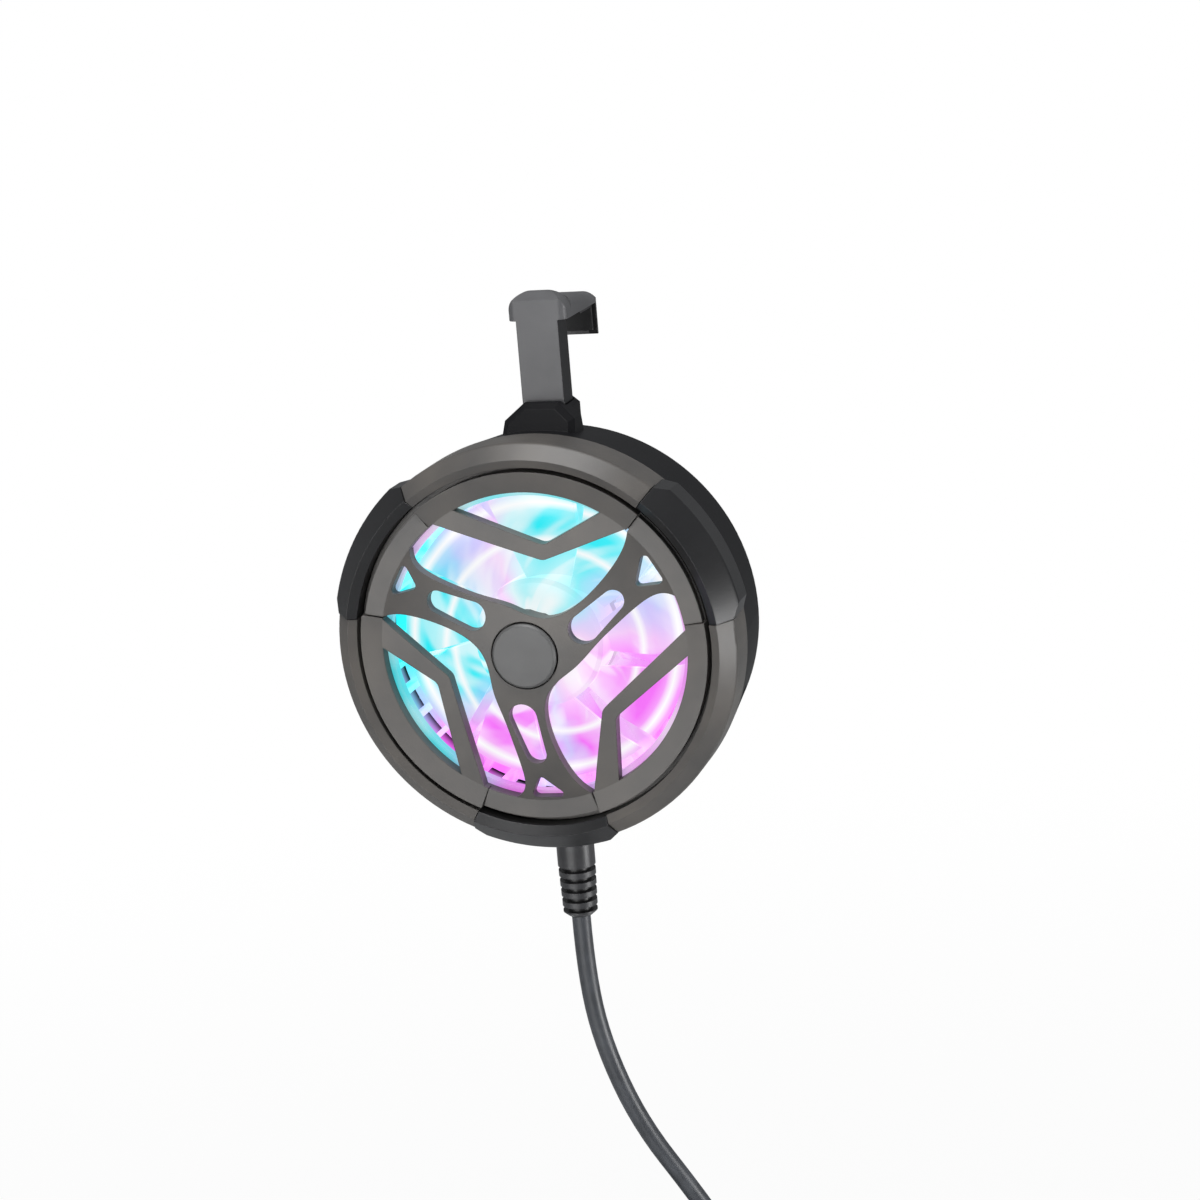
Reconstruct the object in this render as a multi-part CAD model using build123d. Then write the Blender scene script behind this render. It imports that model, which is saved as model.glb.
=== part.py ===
"""Phone cooling fan: a clip-on thermoelectric cooler with a lit fan, a sprung clamp and a USB cord.

Most pieces are drawn in a bench frame: X to the right, Y up the clamp, Z from the face that touches
the phone towards the grille. upright() stands them up, so that the grille faces -Y and the clamp +Z.
"""
from build123d import *
from math import cos, sin, pi, degrees, radians, sqrt
import os

os.makedirs("parts", exist_ok=True)

# Clamp, with the opening that it has at rest and the travel of its arm either way
clamp_opening = 72.0
hook_inset = 0.75
clamp_throat = 8.0
jaw_pad_thickness = 0.6
arm_closing_travel = 4.0
arm_opening_travel = 9.0
slide_clearance = 0.2

# Stack on the fan's axis, from the phone's back forwards
thermal_pad_thickness = 0.6
thermal_pad_radius = 17.0
plate_radius = 17.5
plate_flange_width = 2.0
plate_thickness = 1.6
plate_flange_thickness = 0.8
module_side = 20.0
module_thickness = 3.3
module_offset = 6.5
pedestal_height = 2.1
sink_base_thickness = 1.8
sink_gap = 1.0

# Housing
shell_radius = 29.3
shell_wall = 1.1
shell_taper = 1.3
shell_rise = 5.6
shell_edge_rounding = 1.0
cover_setback = 0.8
cover_thickness = 1.2
piece_clearance = 0.2
seam_gap = 0.1
overrun = 2.0

# Bezel and its three raised guards: widths inwards from the shell's side, rises over the shell's front
bezel_width = 3.3
bezel_slope_width = 2.1
bezel_shelf_rise = 5.4
bezel_shoulder_rise = 6.4
bezel_inner_rise = 7.9
bezel_crest_rise = 8.6
bezel_shelf_thickness = 1.5
bezel_skirt_wall = 0.9
bezel_skirt_depth = 2.5
bezel_rounding = 0.8
guard_seat_rise = 4.6
guard_crest_inset = 1.9
guard_crest_proud = 0.3
guard_proud = 1.0
guard_shoulder_drop = 1.1
guard_bottom_rise = 0.6
guard_end_chamfer = 0.95
guard_end_taper = 2.0
guard_start_angle = -23.0
guard_end_angle = 20.0

# Grille: widths inwards from the groove round it, rises over the shelf that it lies on
arm_angles = (30.0, 150.0, 270.0)
groove_width = 0.6
ring_width = 3.0
shelf_width = 1.0
ring_inner_rise = 1.9
ring_outer_rise = 2.6
chevron_rise = 2.9
chevron_thickness = 2.0
chevron_rounding = 1.6
spider_rise = 4.2
spider_thickness = 1.8
foot_inset = 0.3
foot_thickness = 1.2
foot_start_angle = -22.0
foot_end_angle = 18.0
hub_recess_depth = 1.7
hub_boss_radius = 6.0
hub_boss_depth = 1.3
cap_radius = 4.63
cap_gap = 0.25
cap_proud = 0.4
cap_chamfer = 0.3
cap_stem_radius = 1.2
cap_stem_gap = 0.05

# Fan and motor
rotor_inset = 1.4
rotor_hub_radius = 9.4
rotor_hub_wall = 0.9
rotor_hub_height = 7.8
rotor_hub_roof = 1.2
motor_room = 1.4
blade_count = 9
blade_gap = 0.6
blade_height = 5.3
blade_thickness = 0.8
shaft_radius = 0.75
shaft_end_gap = 0.1
running_clearance = 0.05
bearing_radius = 2.0
bearing_tube_wall = 1.0
bearing_tube_gap = 1.0
motor_plate_radius = 9.6
motor_plate_thickness = 1.0
motor_board_radius = 8.8
motor_board_thickness = 0.6
motor_board_seat = 0.5
stator_height = 3.4
stator_rise = 0.4
stator_yoke_wall = 1.15
stator_radius = 7.0
pole_count = 6
pole_width = 1.3
pole_tip_thickness = 0.6
pole_tip_angle = 40.0
coil_side = 0.85
magnet_gap = 0.25
magnet_thickness = 0.85
magnet_height = 4.2
yoke_thickness = 0.35

# Light ring round the fan
blade_tip_gap = 0.6
light_board_inset = 0.4
light_board_thickness = 0.8
led_count = 12
led_side = 1.6
led_height = 0.7
led_inset = 1.4
light_ring_clearance = 0.15

# Heat sink fins
fin_count = 36
fin_thickness = 0.8
fin_start_radius = 10.4
fin_low_height = 3.5
tall_fin_gap = 1.2
fin_board_gap = 0.6

# Screws of the housing
screw_inset = 2.0
screw_angles = (10.0, 170.0, 235.0, 305.0)
screw_radius = 0.8
screw_head_radius = 1.4
screw_head_height = 0.7
screw_slot_width = 0.35
screw_slot_depth = 0.4
screw_length = 3.4
screw_play = 0.05
boss_radius = 2.2
ear_radius = 1.8

# Sliding arm and its springs
arm_width = 6.2
arm_thickness = 4.4
arm_setback = 2.8
arm_bar_end = 2.0
arm_bar_height = 2.8
arm_bar_play = 0.5
jaw_width = 8.7
jaw_crown_height = 4.65
jaw_crown_setback = 1.6
jaw_crown_depth = 0.7
jaw_dip = 0.8
jaw_shoulder_height = 2.95
jaw_back_rise = 1.9
jaw_back_drop = 2.0
jaw_back_corner = 2.8
jaw_corner_radius = 3.2
jaw_side_rounding = 1.5
jaw_front_radius = 1.2
jaw_back_radius = 1.5
jaw_edge_rounding = 0.6
jaw_lip_thickness = 1.8
jaw_lip_length = 4.6
jaw_pad_margin = 0.6
sleeve_height = 3.15
sleeve_root_depth = 0.7
sleeve_side_wall = 0.6
sleeve_ledge = 1.3
sleeve_bevel = 2.6
sleeve_bevel_height = 2.2
sleeve_flare = 0.8
sleeve_back_wall = 0.6
sleeve_front_wall = 2.0
sleeve_bridge_lap = 0.8
sleeve_slope = 3.6
sleeve_chamfer = 0.8
rib_thickness = 1.4
rib_inset = 0.5
spring_gap = 3.0
spring_mean_radius = 1.1
spring_wire = 0.4
spring_turns = 12
spring_end_play = 0.3
post_radius = 0.9
post_drop = 16.5

# Fixed lower hook
hook_width = 14.0
hook_floor_thickness = 2.0
hook_lip_length = 4.6
hook_root_depth = 5.2
hook_rounding = 0.9

# Air slots in the side of the shell
slot_width = 2.2
slot_bottom = 8.4
slot_top = 12.2
slot_pitch_angle = 8.0
slot_group_angles = (201.0, 299.0)
slots_in_group = 6

# Control board
board_inset = 3.4
board_width = 5.8
board_bottom = 12.0
board_length = 13.0
board_thickness = 0.8
board_post_radius = 0.8
chip_height = 0.9
chip_gap = 0.5

# Cord, its strain relief, its coil and its plug
cord_diameter = 2.8
cord_depth = 10.3
relief_radius = 2.8
relief_end_radius = 2.55
relief_flange_radius = 3.6
relief_flange_thickness = 1.2
relief_collar_end = 36.2
relief_end = 43.95
relief_tip_length = 0.6
relief_tip_wall = 0.45
relief_groove_count = 5
relief_groove_width = 0.7
relief_groove_depth = 0.75
relief_hole_gap = 0.1
coil_inner_radius = 10.0
coil_pitch = 3.9
coil_half_turns_in_layers = (7, 6, 6, 6)
wound_least_gap = 0.4
tie_width = 3.5
tie_thickness = 0.9
tie_clearance = 0.4
plug_body_width = 15.6
plug_body_thickness = 8.0
plug_body_length = 23.0
plug_body_rounding = 2.2
plug_neck_radius = 2.3
plug_neck_length = 6.0
plug_shell_width = 12.0
plug_shell_thickness = 4.5
plug_shell_length = 12.0
plug_shell_wall = 0.4
plug_tongue_thickness = 1.8
plug_tongue_setback = 0.8

# Radii worked out from the shell inwards
shell_rear_radius = shell_radius - shell_taper
shell_bore = shell_rear_radius - shell_wall
cover_radius = shell_bore - piece_clearance
skirt_radius = shell_bore - piece_clearance
skirt_bore = skirt_radius - bezel_skirt_wall
groove_radius = shell_radius - bezel_width
bezel_crest_radius = shell_radius - bezel_slope_width
guard_inner_radius = groove_radius + seam_gap
guard_crest_radius = shell_radius - guard_crest_inset
guard_radius = shell_radius + guard_proud
ring_radius = groove_radius - groove_width
foot_radius = ring_radius - foot_inset
bezel_shelf_inner_radius = ring_radius - shelf_width
window_radius = ring_radius - ring_width
rotor_radius = window_radius - rotor_inset
light_ring_inner_radius = rotor_radius + blade_tip_gap
light_board_inner_radius = light_ring_inner_radius + light_board_inset
light_board_radius = skirt_bore - piece_clearance
led_circle_radius = light_ring_inner_radius + led_inset
sink_base_radius = skirt_bore - sink_gap
fin_step_radius = rotor_radius + tall_fin_gap
screw_circle_radius = shell_bore - screw_inset
plate_flange_radius = plate_radius + plate_flange_width
bearing_tube_radius = bearing_radius + bearing_tube_wall
magnet_inner_radius = stator_radius + magnet_gap
magnet_radius = magnet_inner_radius + magnet_thickness
yoke_radius = magnet_radius + yoke_thickness

# Heights worked out from the phone's back forwards
thermal_pad_top = thermal_pad_thickness
plate_top = thermal_pad_top + plate_thickness
module_top = plate_top + module_thickness
sink_bottom = module_top + pedestal_height
sink_top = sink_bottom + sink_base_thickness
cover_top = cover_setback + cover_thickness
board_level = sink_bottom - chip_gap - chip_height - board_thickness
motor_plate_top = sink_top + motor_plate_thickness
rotor_hub_bottom = motor_plate_top + motor_room
rotor_hub_top = rotor_hub_bottom + rotor_hub_height
stator_bottom = rotor_hub_bottom + stator_rise
stator_top = stator_bottom + stator_height
bearing_tube_top = rotor_hub_top - rotor_hub_roof - bearing_tube_gap
blade_bottom = sink_top + fin_low_height + blade_gap
blade_top = blade_bottom + blade_height
shell_front = sink_top + shell_rise
bezel_shelf_top = shell_front + bezel_shelf_rise
shelf_bottom = bezel_shelf_top - bezel_shelf_thickness
bezel_shoulder_height = shell_front + bezel_shoulder_rise
bezel_inner_height = shell_front + bezel_inner_rise
bezel_crest_height = shell_front + bezel_crest_rise
guard_bottom = shell_front + guard_bottom_rise
guard_seat_height = shell_front + guard_seat_rise
guard_shoulder_height = bezel_shoulder_height - guard_shoulder_drop
guard_crest_height = bezel_crest_height + guard_crest_proud
fin_high_top = shelf_bottom - light_board_thickness - fin_board_gap
ring_inner_height = bezel_shelf_top + ring_inner_rise
ring_outer_height = bezel_shelf_top + ring_outer_rise
chevron_height = bezel_shelf_top + chevron_rise
foot_top = ring_inner_height + seam_gap
foot_bottom = foot_top - foot_thickness
spider_apex_height = foot_top + spider_rise
cap_height = spider_apex_height + cap_proud

# Places worked out for the clamp, its arm and the control board
lower_pad_to_axis = shell_radius - hook_inset
upper_jaw_height = clamp_opening - lower_pad_to_axis + jaw_pad_thickness
hook_floor_height = -lower_pad_to_axis - jaw_pad_thickness
lip_depth = -clamp_throat - jaw_pad_thickness
arm_front = arm_setback + arm_thickness
channel_width = arm_width + 2 * slide_clearance
channel_back = arm_setback - slide_clearance
channel_front = arm_front + slide_clearance
sleeve_top = shell_radius + sleeve_height
sleeve_root = shell_bore - sleeve_root_depth
sleeve_shoulder = sleeve_top - sleeve_bevel_height
sleeve_flank = channel_width / 2 + sleeve_side_wall
sleeve_shoulder_width = 2 * (sleeve_flank + sleeve_ledge)
sleeve_top_width = sleeve_shoulder_width - 2 * sleeve_bevel
sleeve_root_width = sleeve_shoulder_width + sleeve_flare
sleeve_bridge_back = arm_front - sleeve_bridge_lap
sleeve_back = channel_back - sleeve_back_wall
sleeve_top_front = channel_front + sleeve_front_wall
sleeve_root_front = sleeve_top_front + sleeve_slope
gasket_side = module_side + 2 * rib_thickness - 2 * piece_clearance
spring_offset = gasket_side / 2 + spring_gap
arm_bar_width = 2 * (spring_offset + arm_bar_end)
bar_bottom = gasket_side / 2 - module_offset + arm_bar_play + arm_closing_travel
bar_top = bar_bottom + arm_bar_height
rib_bottom = bar_top + arm_opening_travel + piece_clearance
rib_length = cover_radius - rib_inset - rib_bottom
board_left = shell_bore - board_inset - board_width
relief_flange_face = sqrt(shell_bore ** 2 - relief_flange_radius ** 2) - seam_gap / 2


def upright(shape):
    """Stands a piece drawn in the bench frame up in the part's own frame."""
    return Rot(90, 0, 0) * shape


def polar(radius, angle):
    """Point at a radius and an angle in degrees."""
    return (radius * cos(radians(angle)), radius * sin(radians(angle)))


def disc(radius, bottom, top, bore=0):
    """Round plate between two heights, with a bore if one is given."""
    solid = Pos(0, 0, bottom) * extrude(Circle(radius), top - bottom)
    if bore:
        solid -= Pos(0, 0, bottom - overrun) * extrude(Circle(bore), top - bottom + 2 * overrun)
    return solid


def slab(width, height, bottom, top, x=0, y=0):
    """Rectangular plate between two heights, centred on x and y."""
    return Pos(x, y, bottom) * extrude(Rectangle(width, height), top - bottom)


def outline(points, rounded=(), rounding=0):
    """Flat outline with straight sides, with the listed corners rounded."""
    face = make_face(Polyline(*points, close=True))
    if not rounded:
        return face
    corners = [v for v in face.vertices() for p in rounded if (Vector(v) - Vector(*p)).length < seam_gap / 2]
    return fillet(corners, rounding)


def turned(points, start=0, span=360, rounded=(), rounding=0):
    """Ring, or a sector of one, with a cross-section of radius and height pairs."""
    section = outline(points, rounded, rounding)
    return Rot(0, 0, start) * revolve(Plane.XZ * section, Axis.Z, revolution_arc=span)


def side_profile(points, width, rounded=(), rounding=0):
    """Piece of even width across X, with a side view of height and depth pairs."""
    section = outline(points, rounded, rounding)
    return extrude(Plane.YZ * section, width / 2, both=True)


def around(piece, angles, radius=0):
    """Copies of a piece turned to each angle, moved out to a radius first."""
    return [Rot(0, 0, angle) * Pos(radius, 0, 0) * piece for angle in angles]


def biarc(start, start_direction, end, end_direction):
    """Two arcs that run from one point and direction into another."""
    chord = end - start
    turn = 2 * (1 - start_direction.dot(end_direction))
    lean = chord.dot(start_direction + end_direction)
    reach = (sqrt(lean ** 2 + turn * chord.dot(chord)) - lean) / turn
    middle = (start + end + (start_direction - end_direction) * reach) / 2
    first = TangentArc(start, middle, tangent=start_direction)
    second = TangentArc(end, middle, tangent=end_direction * -1)
    return [first, Edge.make_three_point_arc(middle, second @ 0.5, end)]


def least_gap(path, diameter, turn_radius):
    """Least gap between a wound tube and its own other turns, measured on points."""
    count = round(path.length / diameter * 2)
    points = [path @ (index / count) for index in range(count + 1)]
    apart = round(count * pi * turn_radius / path.length)
    return min((points[a] - points[b]).length
               for a in range(count) for b in range(a + apart, count + 1)) - diameter


def save(shape, name):
    export_step(shape, "parts/" + name + ".step")


# Cooling stack

def thermal_pad():
    return disc(thermal_pad_radius, 0, thermal_pad_top)


def cold_plate():
    flange_bottom = plate_top - plate_flange_thickness
    flange = disc(plate_flange_radius, flange_bottom, plate_top)
    return disc(plate_radius, thermal_pad_top, plate_top) + flange


def peltier_module():
    """Two ceramic plates with the semiconductor pellets between them."""
    ceramic_share = 0.21
    pellet_share = 0.065
    pellet_rows = 7
    row_pitch_share = 0.128
    ceramic = module_thickness * ceramic_share
    pellet = module_side * pellet_share
    lower = slab(module_side, module_side, plate_top, plate_top + ceramic)
    upper = slab(module_side, module_side, module_top - ceramic, module_top)
    pitch = module_side * row_pitch_share
    rows = GridLocations(pitch, pitch, pellet_rows, pellet_rows)
    pillar = slab(pellet, pellet, plate_top + ceramic / 2, module_top - ceramic / 2)
    module = lower + upper + [place * pillar for place in rows]
    return Pos(0, -module_offset, 0) * module


def insulation_gasket():
    opening = module_side + piece_clearance
    ring = slab(gasket_side, gasket_side, plate_top, module_top)
    ring -= slab(opening, opening, plate_top - overrun, module_top + overrun)
    return Pos(0, -module_offset, 0) * ring


def heat_sink():
    """Base on the module, with low fins under the fan and tall fins round it."""
    sink = disc(sink_base_radius, sink_bottom, sink_top)
    middle = sink_bottom + sink_base_thickness / 2
    sink += slab(module_side, module_side, module_top, middle, y=-module_offset)
    ears = around(disc(ear_radius, sink_bottom, sink_top), screw_angles, screw_circle_radius)
    low_length = sink_base_radius - fin_start_radius
    high_length = sink_base_radius - fin_step_radius
    root = sink_top - sink_base_thickness / 2
    low = slab(low_length, fin_thickness, root, sink_top + fin_low_height,
               x=fin_start_radius + low_length / 2)
    high = slab(high_length, fin_thickness, root, fin_high_top,
                x=fin_step_radius + high_length / 2)
    fins = []
    for index in range(fin_count):
        angle = index * 360 / fin_count
        nearest = min(abs((angle - screw_angle + 180) % 360 - 180) for screw_angle in screw_angles)
        fins.append(Rot(0, 0, angle) * low)
        if radians(nearest) * screw_circle_radius > 2 * screw_head_radius:
            fins.append(Rot(0, 0, angle) * high)
    sink += fins
    sink += ears
    head_room = disc(screw_head_radius + piece_clearance, sink_top, fin_high_top)
    sink -= around(head_room, screw_angles, screw_circle_radius)
    hole = disc(screw_radius + screw_play, sink_bottom - overrun, sink_top + overrun)
    sink -= around(hole, screw_angles, screw_circle_radius)
    return sink


def cross_slot(bottom, top):
    """Cutter for the cross in a screw's head."""
    length = 2 * screw_radius
    return slab(length, screw_slot_width, bottom, top) + slab(screw_slot_width, length, bottom, top)


def sink_screws():
    head_top = sink_top + screw_head_height
    screw = disc(screw_head_radius, sink_top, head_top)
    screw += disc(screw_radius, sink_top - screw_length, sink_top)
    screw -= cross_slot(head_top - screw_slot_depth, head_top + overrun)
    return around(screw, screw_angles, screw_circle_radius)


# Housing

def back_cover():
    """Plate that holds the cold plate, with the ribs that guide the arm and the springs' posts."""
    cover = disc(cover_radius, cover_setback, cover_top, bore=plate_radius + piece_clearance)
    flange_bottom = plate_top - plate_flange_thickness
    cover -= disc(plate_flange_radius + piece_clearance, flange_bottom, cover_top + overrun)
    root = cover_top - cover_thickness / 2
    rib_x = channel_width / 2 + rib_thickness / 2
    for side in (-1, 1):
        cover += slab(rib_thickness, rib_length, root, arm_front,
                      x=side * rib_x, y=rib_bottom + rib_length / 2)
        post = disc(post_radius, root, arm_front)
        cover += Pos(side * spring_offset, -post_drop, 0) * post
    inset = 2 * board_post_radius
    for end in (inset, board_length - inset):
        post = disc(board_post_radius, root, board_level)
        cover += Pos(-board_left - board_width / 2, end - board_bottom, 0) * post
    hole = disc(screw_radius + screw_play, cover_setback - overrun, cover_top + overrun)
    recess = disc(screw_head_radius + screw_play, cover_setback - overrun,
                  cover_setback + screw_head_height)
    cover -= around(hole + recess, screw_angles, screw_circle_radius)
    return cover


def cover_screws():
    head_end = cover_setback + screw_head_height
    screw = disc(screw_head_radius, cover_setback, head_end)
    screw += disc(screw_radius, head_end, cover_setback + screw_length)
    screw -= cross_slot(cover_setback - overrun, cover_setback + screw_slot_depth)
    return around(screw, screw_angles, screw_circle_radius)


def arm_sleeve():
    """Bridge on top of the shell that the arm slides through, with bevelled corners and a sloping front."""
    right = [(sleeve_root_width / 2, sleeve_root), (sleeve_shoulder_width / 2, sleeve_shoulder),
             (sleeve_top_width / 2, sleeve_top)]
    left = [(-x, y) for x, y in reversed(right)]
    block = extrude(outline(right + left), sleeve_root_front)
    block &= side_profile(
        [(sleeve_root, sleeve_back), (sleeve_top, sleeve_back),
         (sleeve_top, sleeve_top_front), (sleeve_root, sleeve_root_front)], sleeve_root_width)
    for side in (-1, 1):
        block -= slab(sleeve_root_width, 2 * (sleeve_top - sleeve_root), sleeve_back - overrun,
                      sleeve_bridge_back, x=side * (sleeve_flank + sleeve_root_width / 2), y=sleeve_top)
    front_edges = [e for e in block.edges() if e.center().Z > sleeve_top_front - seam_gap
                   and e.center().Y > sleeve_root + seam_gap]
    return chamfer(front_edges, sleeve_chamfer)


def lower_hook():
    """Fixed hook under the phone, with a lip in front of its screen side."""
    floor_bottom = hook_floor_height - hook_floor_thickness
    outer_corner = (floor_bottom, lip_depth - jaw_lip_thickness)
    lip_top = hook_floor_height + hook_lip_length
    return side_profile(
        [outer_corner, (lip_top, lip_depth - jaw_lip_thickness), (lip_top, lip_depth),
         (hook_floor_height, lip_depth), (hook_floor_height, cover_setback),
         (-shell_bore, cover_setback), (-shell_bore, hook_root_depth),
         (floor_bottom + hook_rounding, hook_root_depth), (floor_bottom, hook_root_depth - hook_rounding)],
        hook_width, rounded=[outer_corner], rounding=hook_rounding)


def rear_shell():
    """Drum round the heat sink, with the sleeve, the lower hook, screw bosses and air slots."""
    rear_corner = (shell_rear_radius, cover_setback)
    shell = turned([(shell_bore, cover_setback), rear_corner,
                    (shell_radius, shell_front), (shell_bore, shell_front)],
                   rounded=[rear_corner], rounding=shell_edge_rounding)
    outside = arm_sleeve() + lower_hook()
    outside -= disc(shell_bore + shell_wall / 2, cover_setback, shell_front + overrun)
    shell += outside
    boss = disc(boss_radius, cover_top, sink_bottom)
    bosses = [b & disc(shell_bore + shell_wall / 2, cover_top, sink_bottom)
              for b in around(boss, screw_angles, screw_circle_radius)]
    shell += bosses
    hole = disc(screw_radius + screw_play, cover_top - overrun, sink_bottom + overrun)
    shell -= around(hole, screw_angles, screw_circle_radius)
    channel_length = sleeve_top - rib_bottom + overrun
    shell -= slab(channel_width, channel_length, channel_back, channel_front,
                  y=rib_bottom + channel_length / 2)
    cord_hole = extrude(Circle(relief_radius + relief_hole_gap), shell_radius + overrun)
    shell -= Pos(0, 0, cord_depth) * Rot(90, 0, 0) * cord_hole
    slot = slab(4 * shell_wall, slot_width, slot_bottom, slot_top, x=shell_radius - shell_wall)
    for first in slot_group_angles:
        angles = [first + index * slot_pitch_angle for index in range(slots_in_group)]
        shell -= around(slot, angles)
    return shell


def front_bezel():
    """Ring that joins the grille to the shell, cut down where the raised guards sit on it."""
    shoulder = (shell_radius, bezel_shoulder_height)
    crest = (bezel_crest_radius, bezel_crest_height)
    skirt_bottom = shell_front - bezel_skirt_depth
    bezel = turned(
        [(skirt_bore, skirt_bottom), (skirt_radius, skirt_bottom), (skirt_radius, shell_front),
         (shell_radius, shell_front), shoulder, crest, (groove_radius, bezel_inner_height),
         (groove_radius, bezel_shelf_top), (bezel_shelf_inner_radius, bezel_shelf_top),
         (bezel_shelf_inner_radius, shelf_bottom), (skirt_bore, shelf_bottom)],
        rounded=[shoulder], rounding=bezel_rounding)
    span = guard_end_angle - guard_start_angle
    seat = turned([(groove_radius, guard_seat_height), (guard_radius, guard_seat_height),
                   (guard_radius, guard_crest_height), (groove_radius, guard_crest_height)],
                  start=guard_start_angle, span=span)
    bezel -= around(seat, arm_angles)
    notch_width = 2 * (relief_flange_radius + piece_clearance)
    notch_top = cord_depth + relief_flange_radius + piece_clearance
    bezel -= slab(notch_width, 4 * shell_wall, skirt_bottom - overrun, notch_top, y=-shell_bore)
    return bezel


def bezel_guard(angle):
    """Raised outer segment of the bezel, chamfered at both ends."""
    gap_angle = degrees(seam_gap / shell_radius)
    start = guard_start_angle + gap_angle
    end = guard_end_angle - gap_angle
    side = shell_radius + seam_gap / 2
    crest = (guard_crest_radius, guard_crest_height)
    shoulder = (guard_radius, guard_shoulder_height)
    guard = turned([(guard_inner_radius, guard_seat_height), (side, guard_seat_height),
                    (side, guard_bottom), (guard_radius, guard_bottom), shoulder, crest,
                    (guard_inner_radius, bezel_inner_height)],
                   start=start, span=end - start, rounded=[shoulder], rounding=bezel_rounding)
    height = guard_crest_height - guard_bottom + 2 * overrun
    for end_angle, turn in ((start, 1), (end, -1)):
        run = turn * degrees(guard_end_taper / guard_radius)
        corner = outline([
            polar(guard_radius - guard_end_chamfer, end_angle),
            polar(guard_radius + overrun, end_angle - run),
            polar(guard_radius + overrun, end_angle + 2 * run),
            polar(guard_radius, end_angle + run)])
        guard -= Pos(0, 0, guard_bottom - overrun) * extrude(corner, height)
    return Rot(0, 0, angle) * guard


# Grille

# Inner and outer edges of a V-shaped rib, as shares of the window radius and angles from the arm before it
chevron_shares = ((1.04, 17.5), (0.585, 47.5), (1.04, 97.5), (1.04, 88.5), (0.68, 48.7), (1.04, 28.0))
# Edge of the opening between two arms of the spider, given in the same way
opening_shares = (
    (1.0, 17.6), (0.95, 15.8), (0.77, 12.4), (0.57, 11.0), (0.41, 13.0), (0.29, 25.0), (0.26, 44.0),
    (0.33, 76.0), (0.44, 95.0), (0.625, 107.0), (0.81, 112.0), (0.91, 112.4), (1.0, 109.0))
# Ends of the tapered slot along an arm: share of the window radius, angle, and share of the cap's radius
arm_slot_shares = ((0.415, -7.5, 0.45), (0.66, -0.6, 0.34))
# Corners of the small window in an arm's foot
foot_window_shares = ((0.815, -0.5), (0.985, -5.5), (0.99, 9.5))
window_rounding_share = 0.13


def grille_ring():
    """Outer ring of the grille with its three V-shaped ribs, recessed for the spider's feet."""
    ring = turned([(window_radius, bezel_shelf_top), (ring_radius, bezel_shelf_top),
                   (ring_radius, ring_outer_height), (window_radius, ring_inner_height)])
    bend_radius = window_radius / 2
    root_radius = window_radius + seam_gap
    rib_crown = turned([(bend_radius, chevron_height - chevron_thickness), (bend_radius, chevron_height),
                        (root_radius, ring_inner_height),
                        (root_radius, ring_inner_height - chevron_thickness)])
    for angle in arm_angles:
        corners = [polar(window_radius * share, angle + turn) for share, turn in chevron_shares]
        bends = [corner for corner in corners if Vector(*corner).length < window_radius - overrun]
        face = outline(corners, rounded=bends, rounding=chevron_rounding)
        rib = Pos(0, 0, bezel_shelf_top) * extrude(face, chevron_height - bezel_shelf_top)
        ring += rib & rib_crown
    gap_angle = degrees(seam_gap / window_radius)
    start = foot_start_angle - gap_angle
    recess = turned([(window_radius - seam_gap, foot_bottom), (ring_radius + seam_gap, foot_bottom),
                     (ring_radius + seam_gap, ring_outer_height + seam_gap),
                     (window_radius - seam_gap, ring_outer_height + seam_gap)],
                    start=start, span=foot_end_angle - start + gap_angle)
    ring -= around(recess, arm_angles)
    return ring


def spider_dome():
    """Domed disc that the spider is cut from, with its outer edge flattened into a foot."""
    sphere = (window_radius ** 2 + spider_rise ** 2) / (2 * spider_rise)
    mid = window_radius / 2
    mid_height = spider_apex_height - sphere + sqrt(sphere ** 2 - mid ** 2)
    top = ThreePointArc((0, spider_apex_height), (mid, mid_height), (window_radius, foot_top))
    inner_radius = window_radius - seam_gap
    inner_top = foot_top - spider_thickness
    under = ThreePointArc((inner_radius, inner_top), (mid, mid_height - spider_thickness),
                          (0, spider_apex_height - spider_thickness))
    edge = Polyline((window_radius, foot_top), (foot_radius, foot_top), (foot_radius, foot_bottom),
                    (inner_radius, foot_bottom), (inner_radius, inner_top))
    axis = Line((0, spider_apex_height - spider_thickness), (0, spider_apex_height))
    section = make_face([top, edge, under, axis])
    return revolve(Plane.XZ * section, Axis.Z)


def spider_opening(angle):
    """Cutter for the space between two arms of the spider."""
    outside = ring_radius + seam_gap
    next_foot = foot_start_angle + 120
    flank = Spline(*[polar(window_radius * share, turn) for share, turn in opening_shares])
    first_turn = opening_shares[0][1]
    last_turn = opening_shares[-1][1]
    middle = (foot_end_angle + next_foot) / 2
    rim = [
        ThreePointArc(polar(window_radius, last_turn), polar(window_radius, (last_turn + next_foot) / 2),
                      polar(window_radius, next_foot)),
        Line(polar(window_radius, next_foot), polar(outside, next_foot)),
        ThreePointArc(polar(outside, next_foot), polar(outside, middle), polar(outside, foot_end_angle)),
        Line(polar(outside, foot_end_angle), polar(window_radius, first_turn)),
    ]
    face = make_face([flank] + rim)
    return Rot(0, 0, angle) * Pos(0, 0, bezel_shelf_top - overrun) * extrude(face, spider_apex_height)


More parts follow.
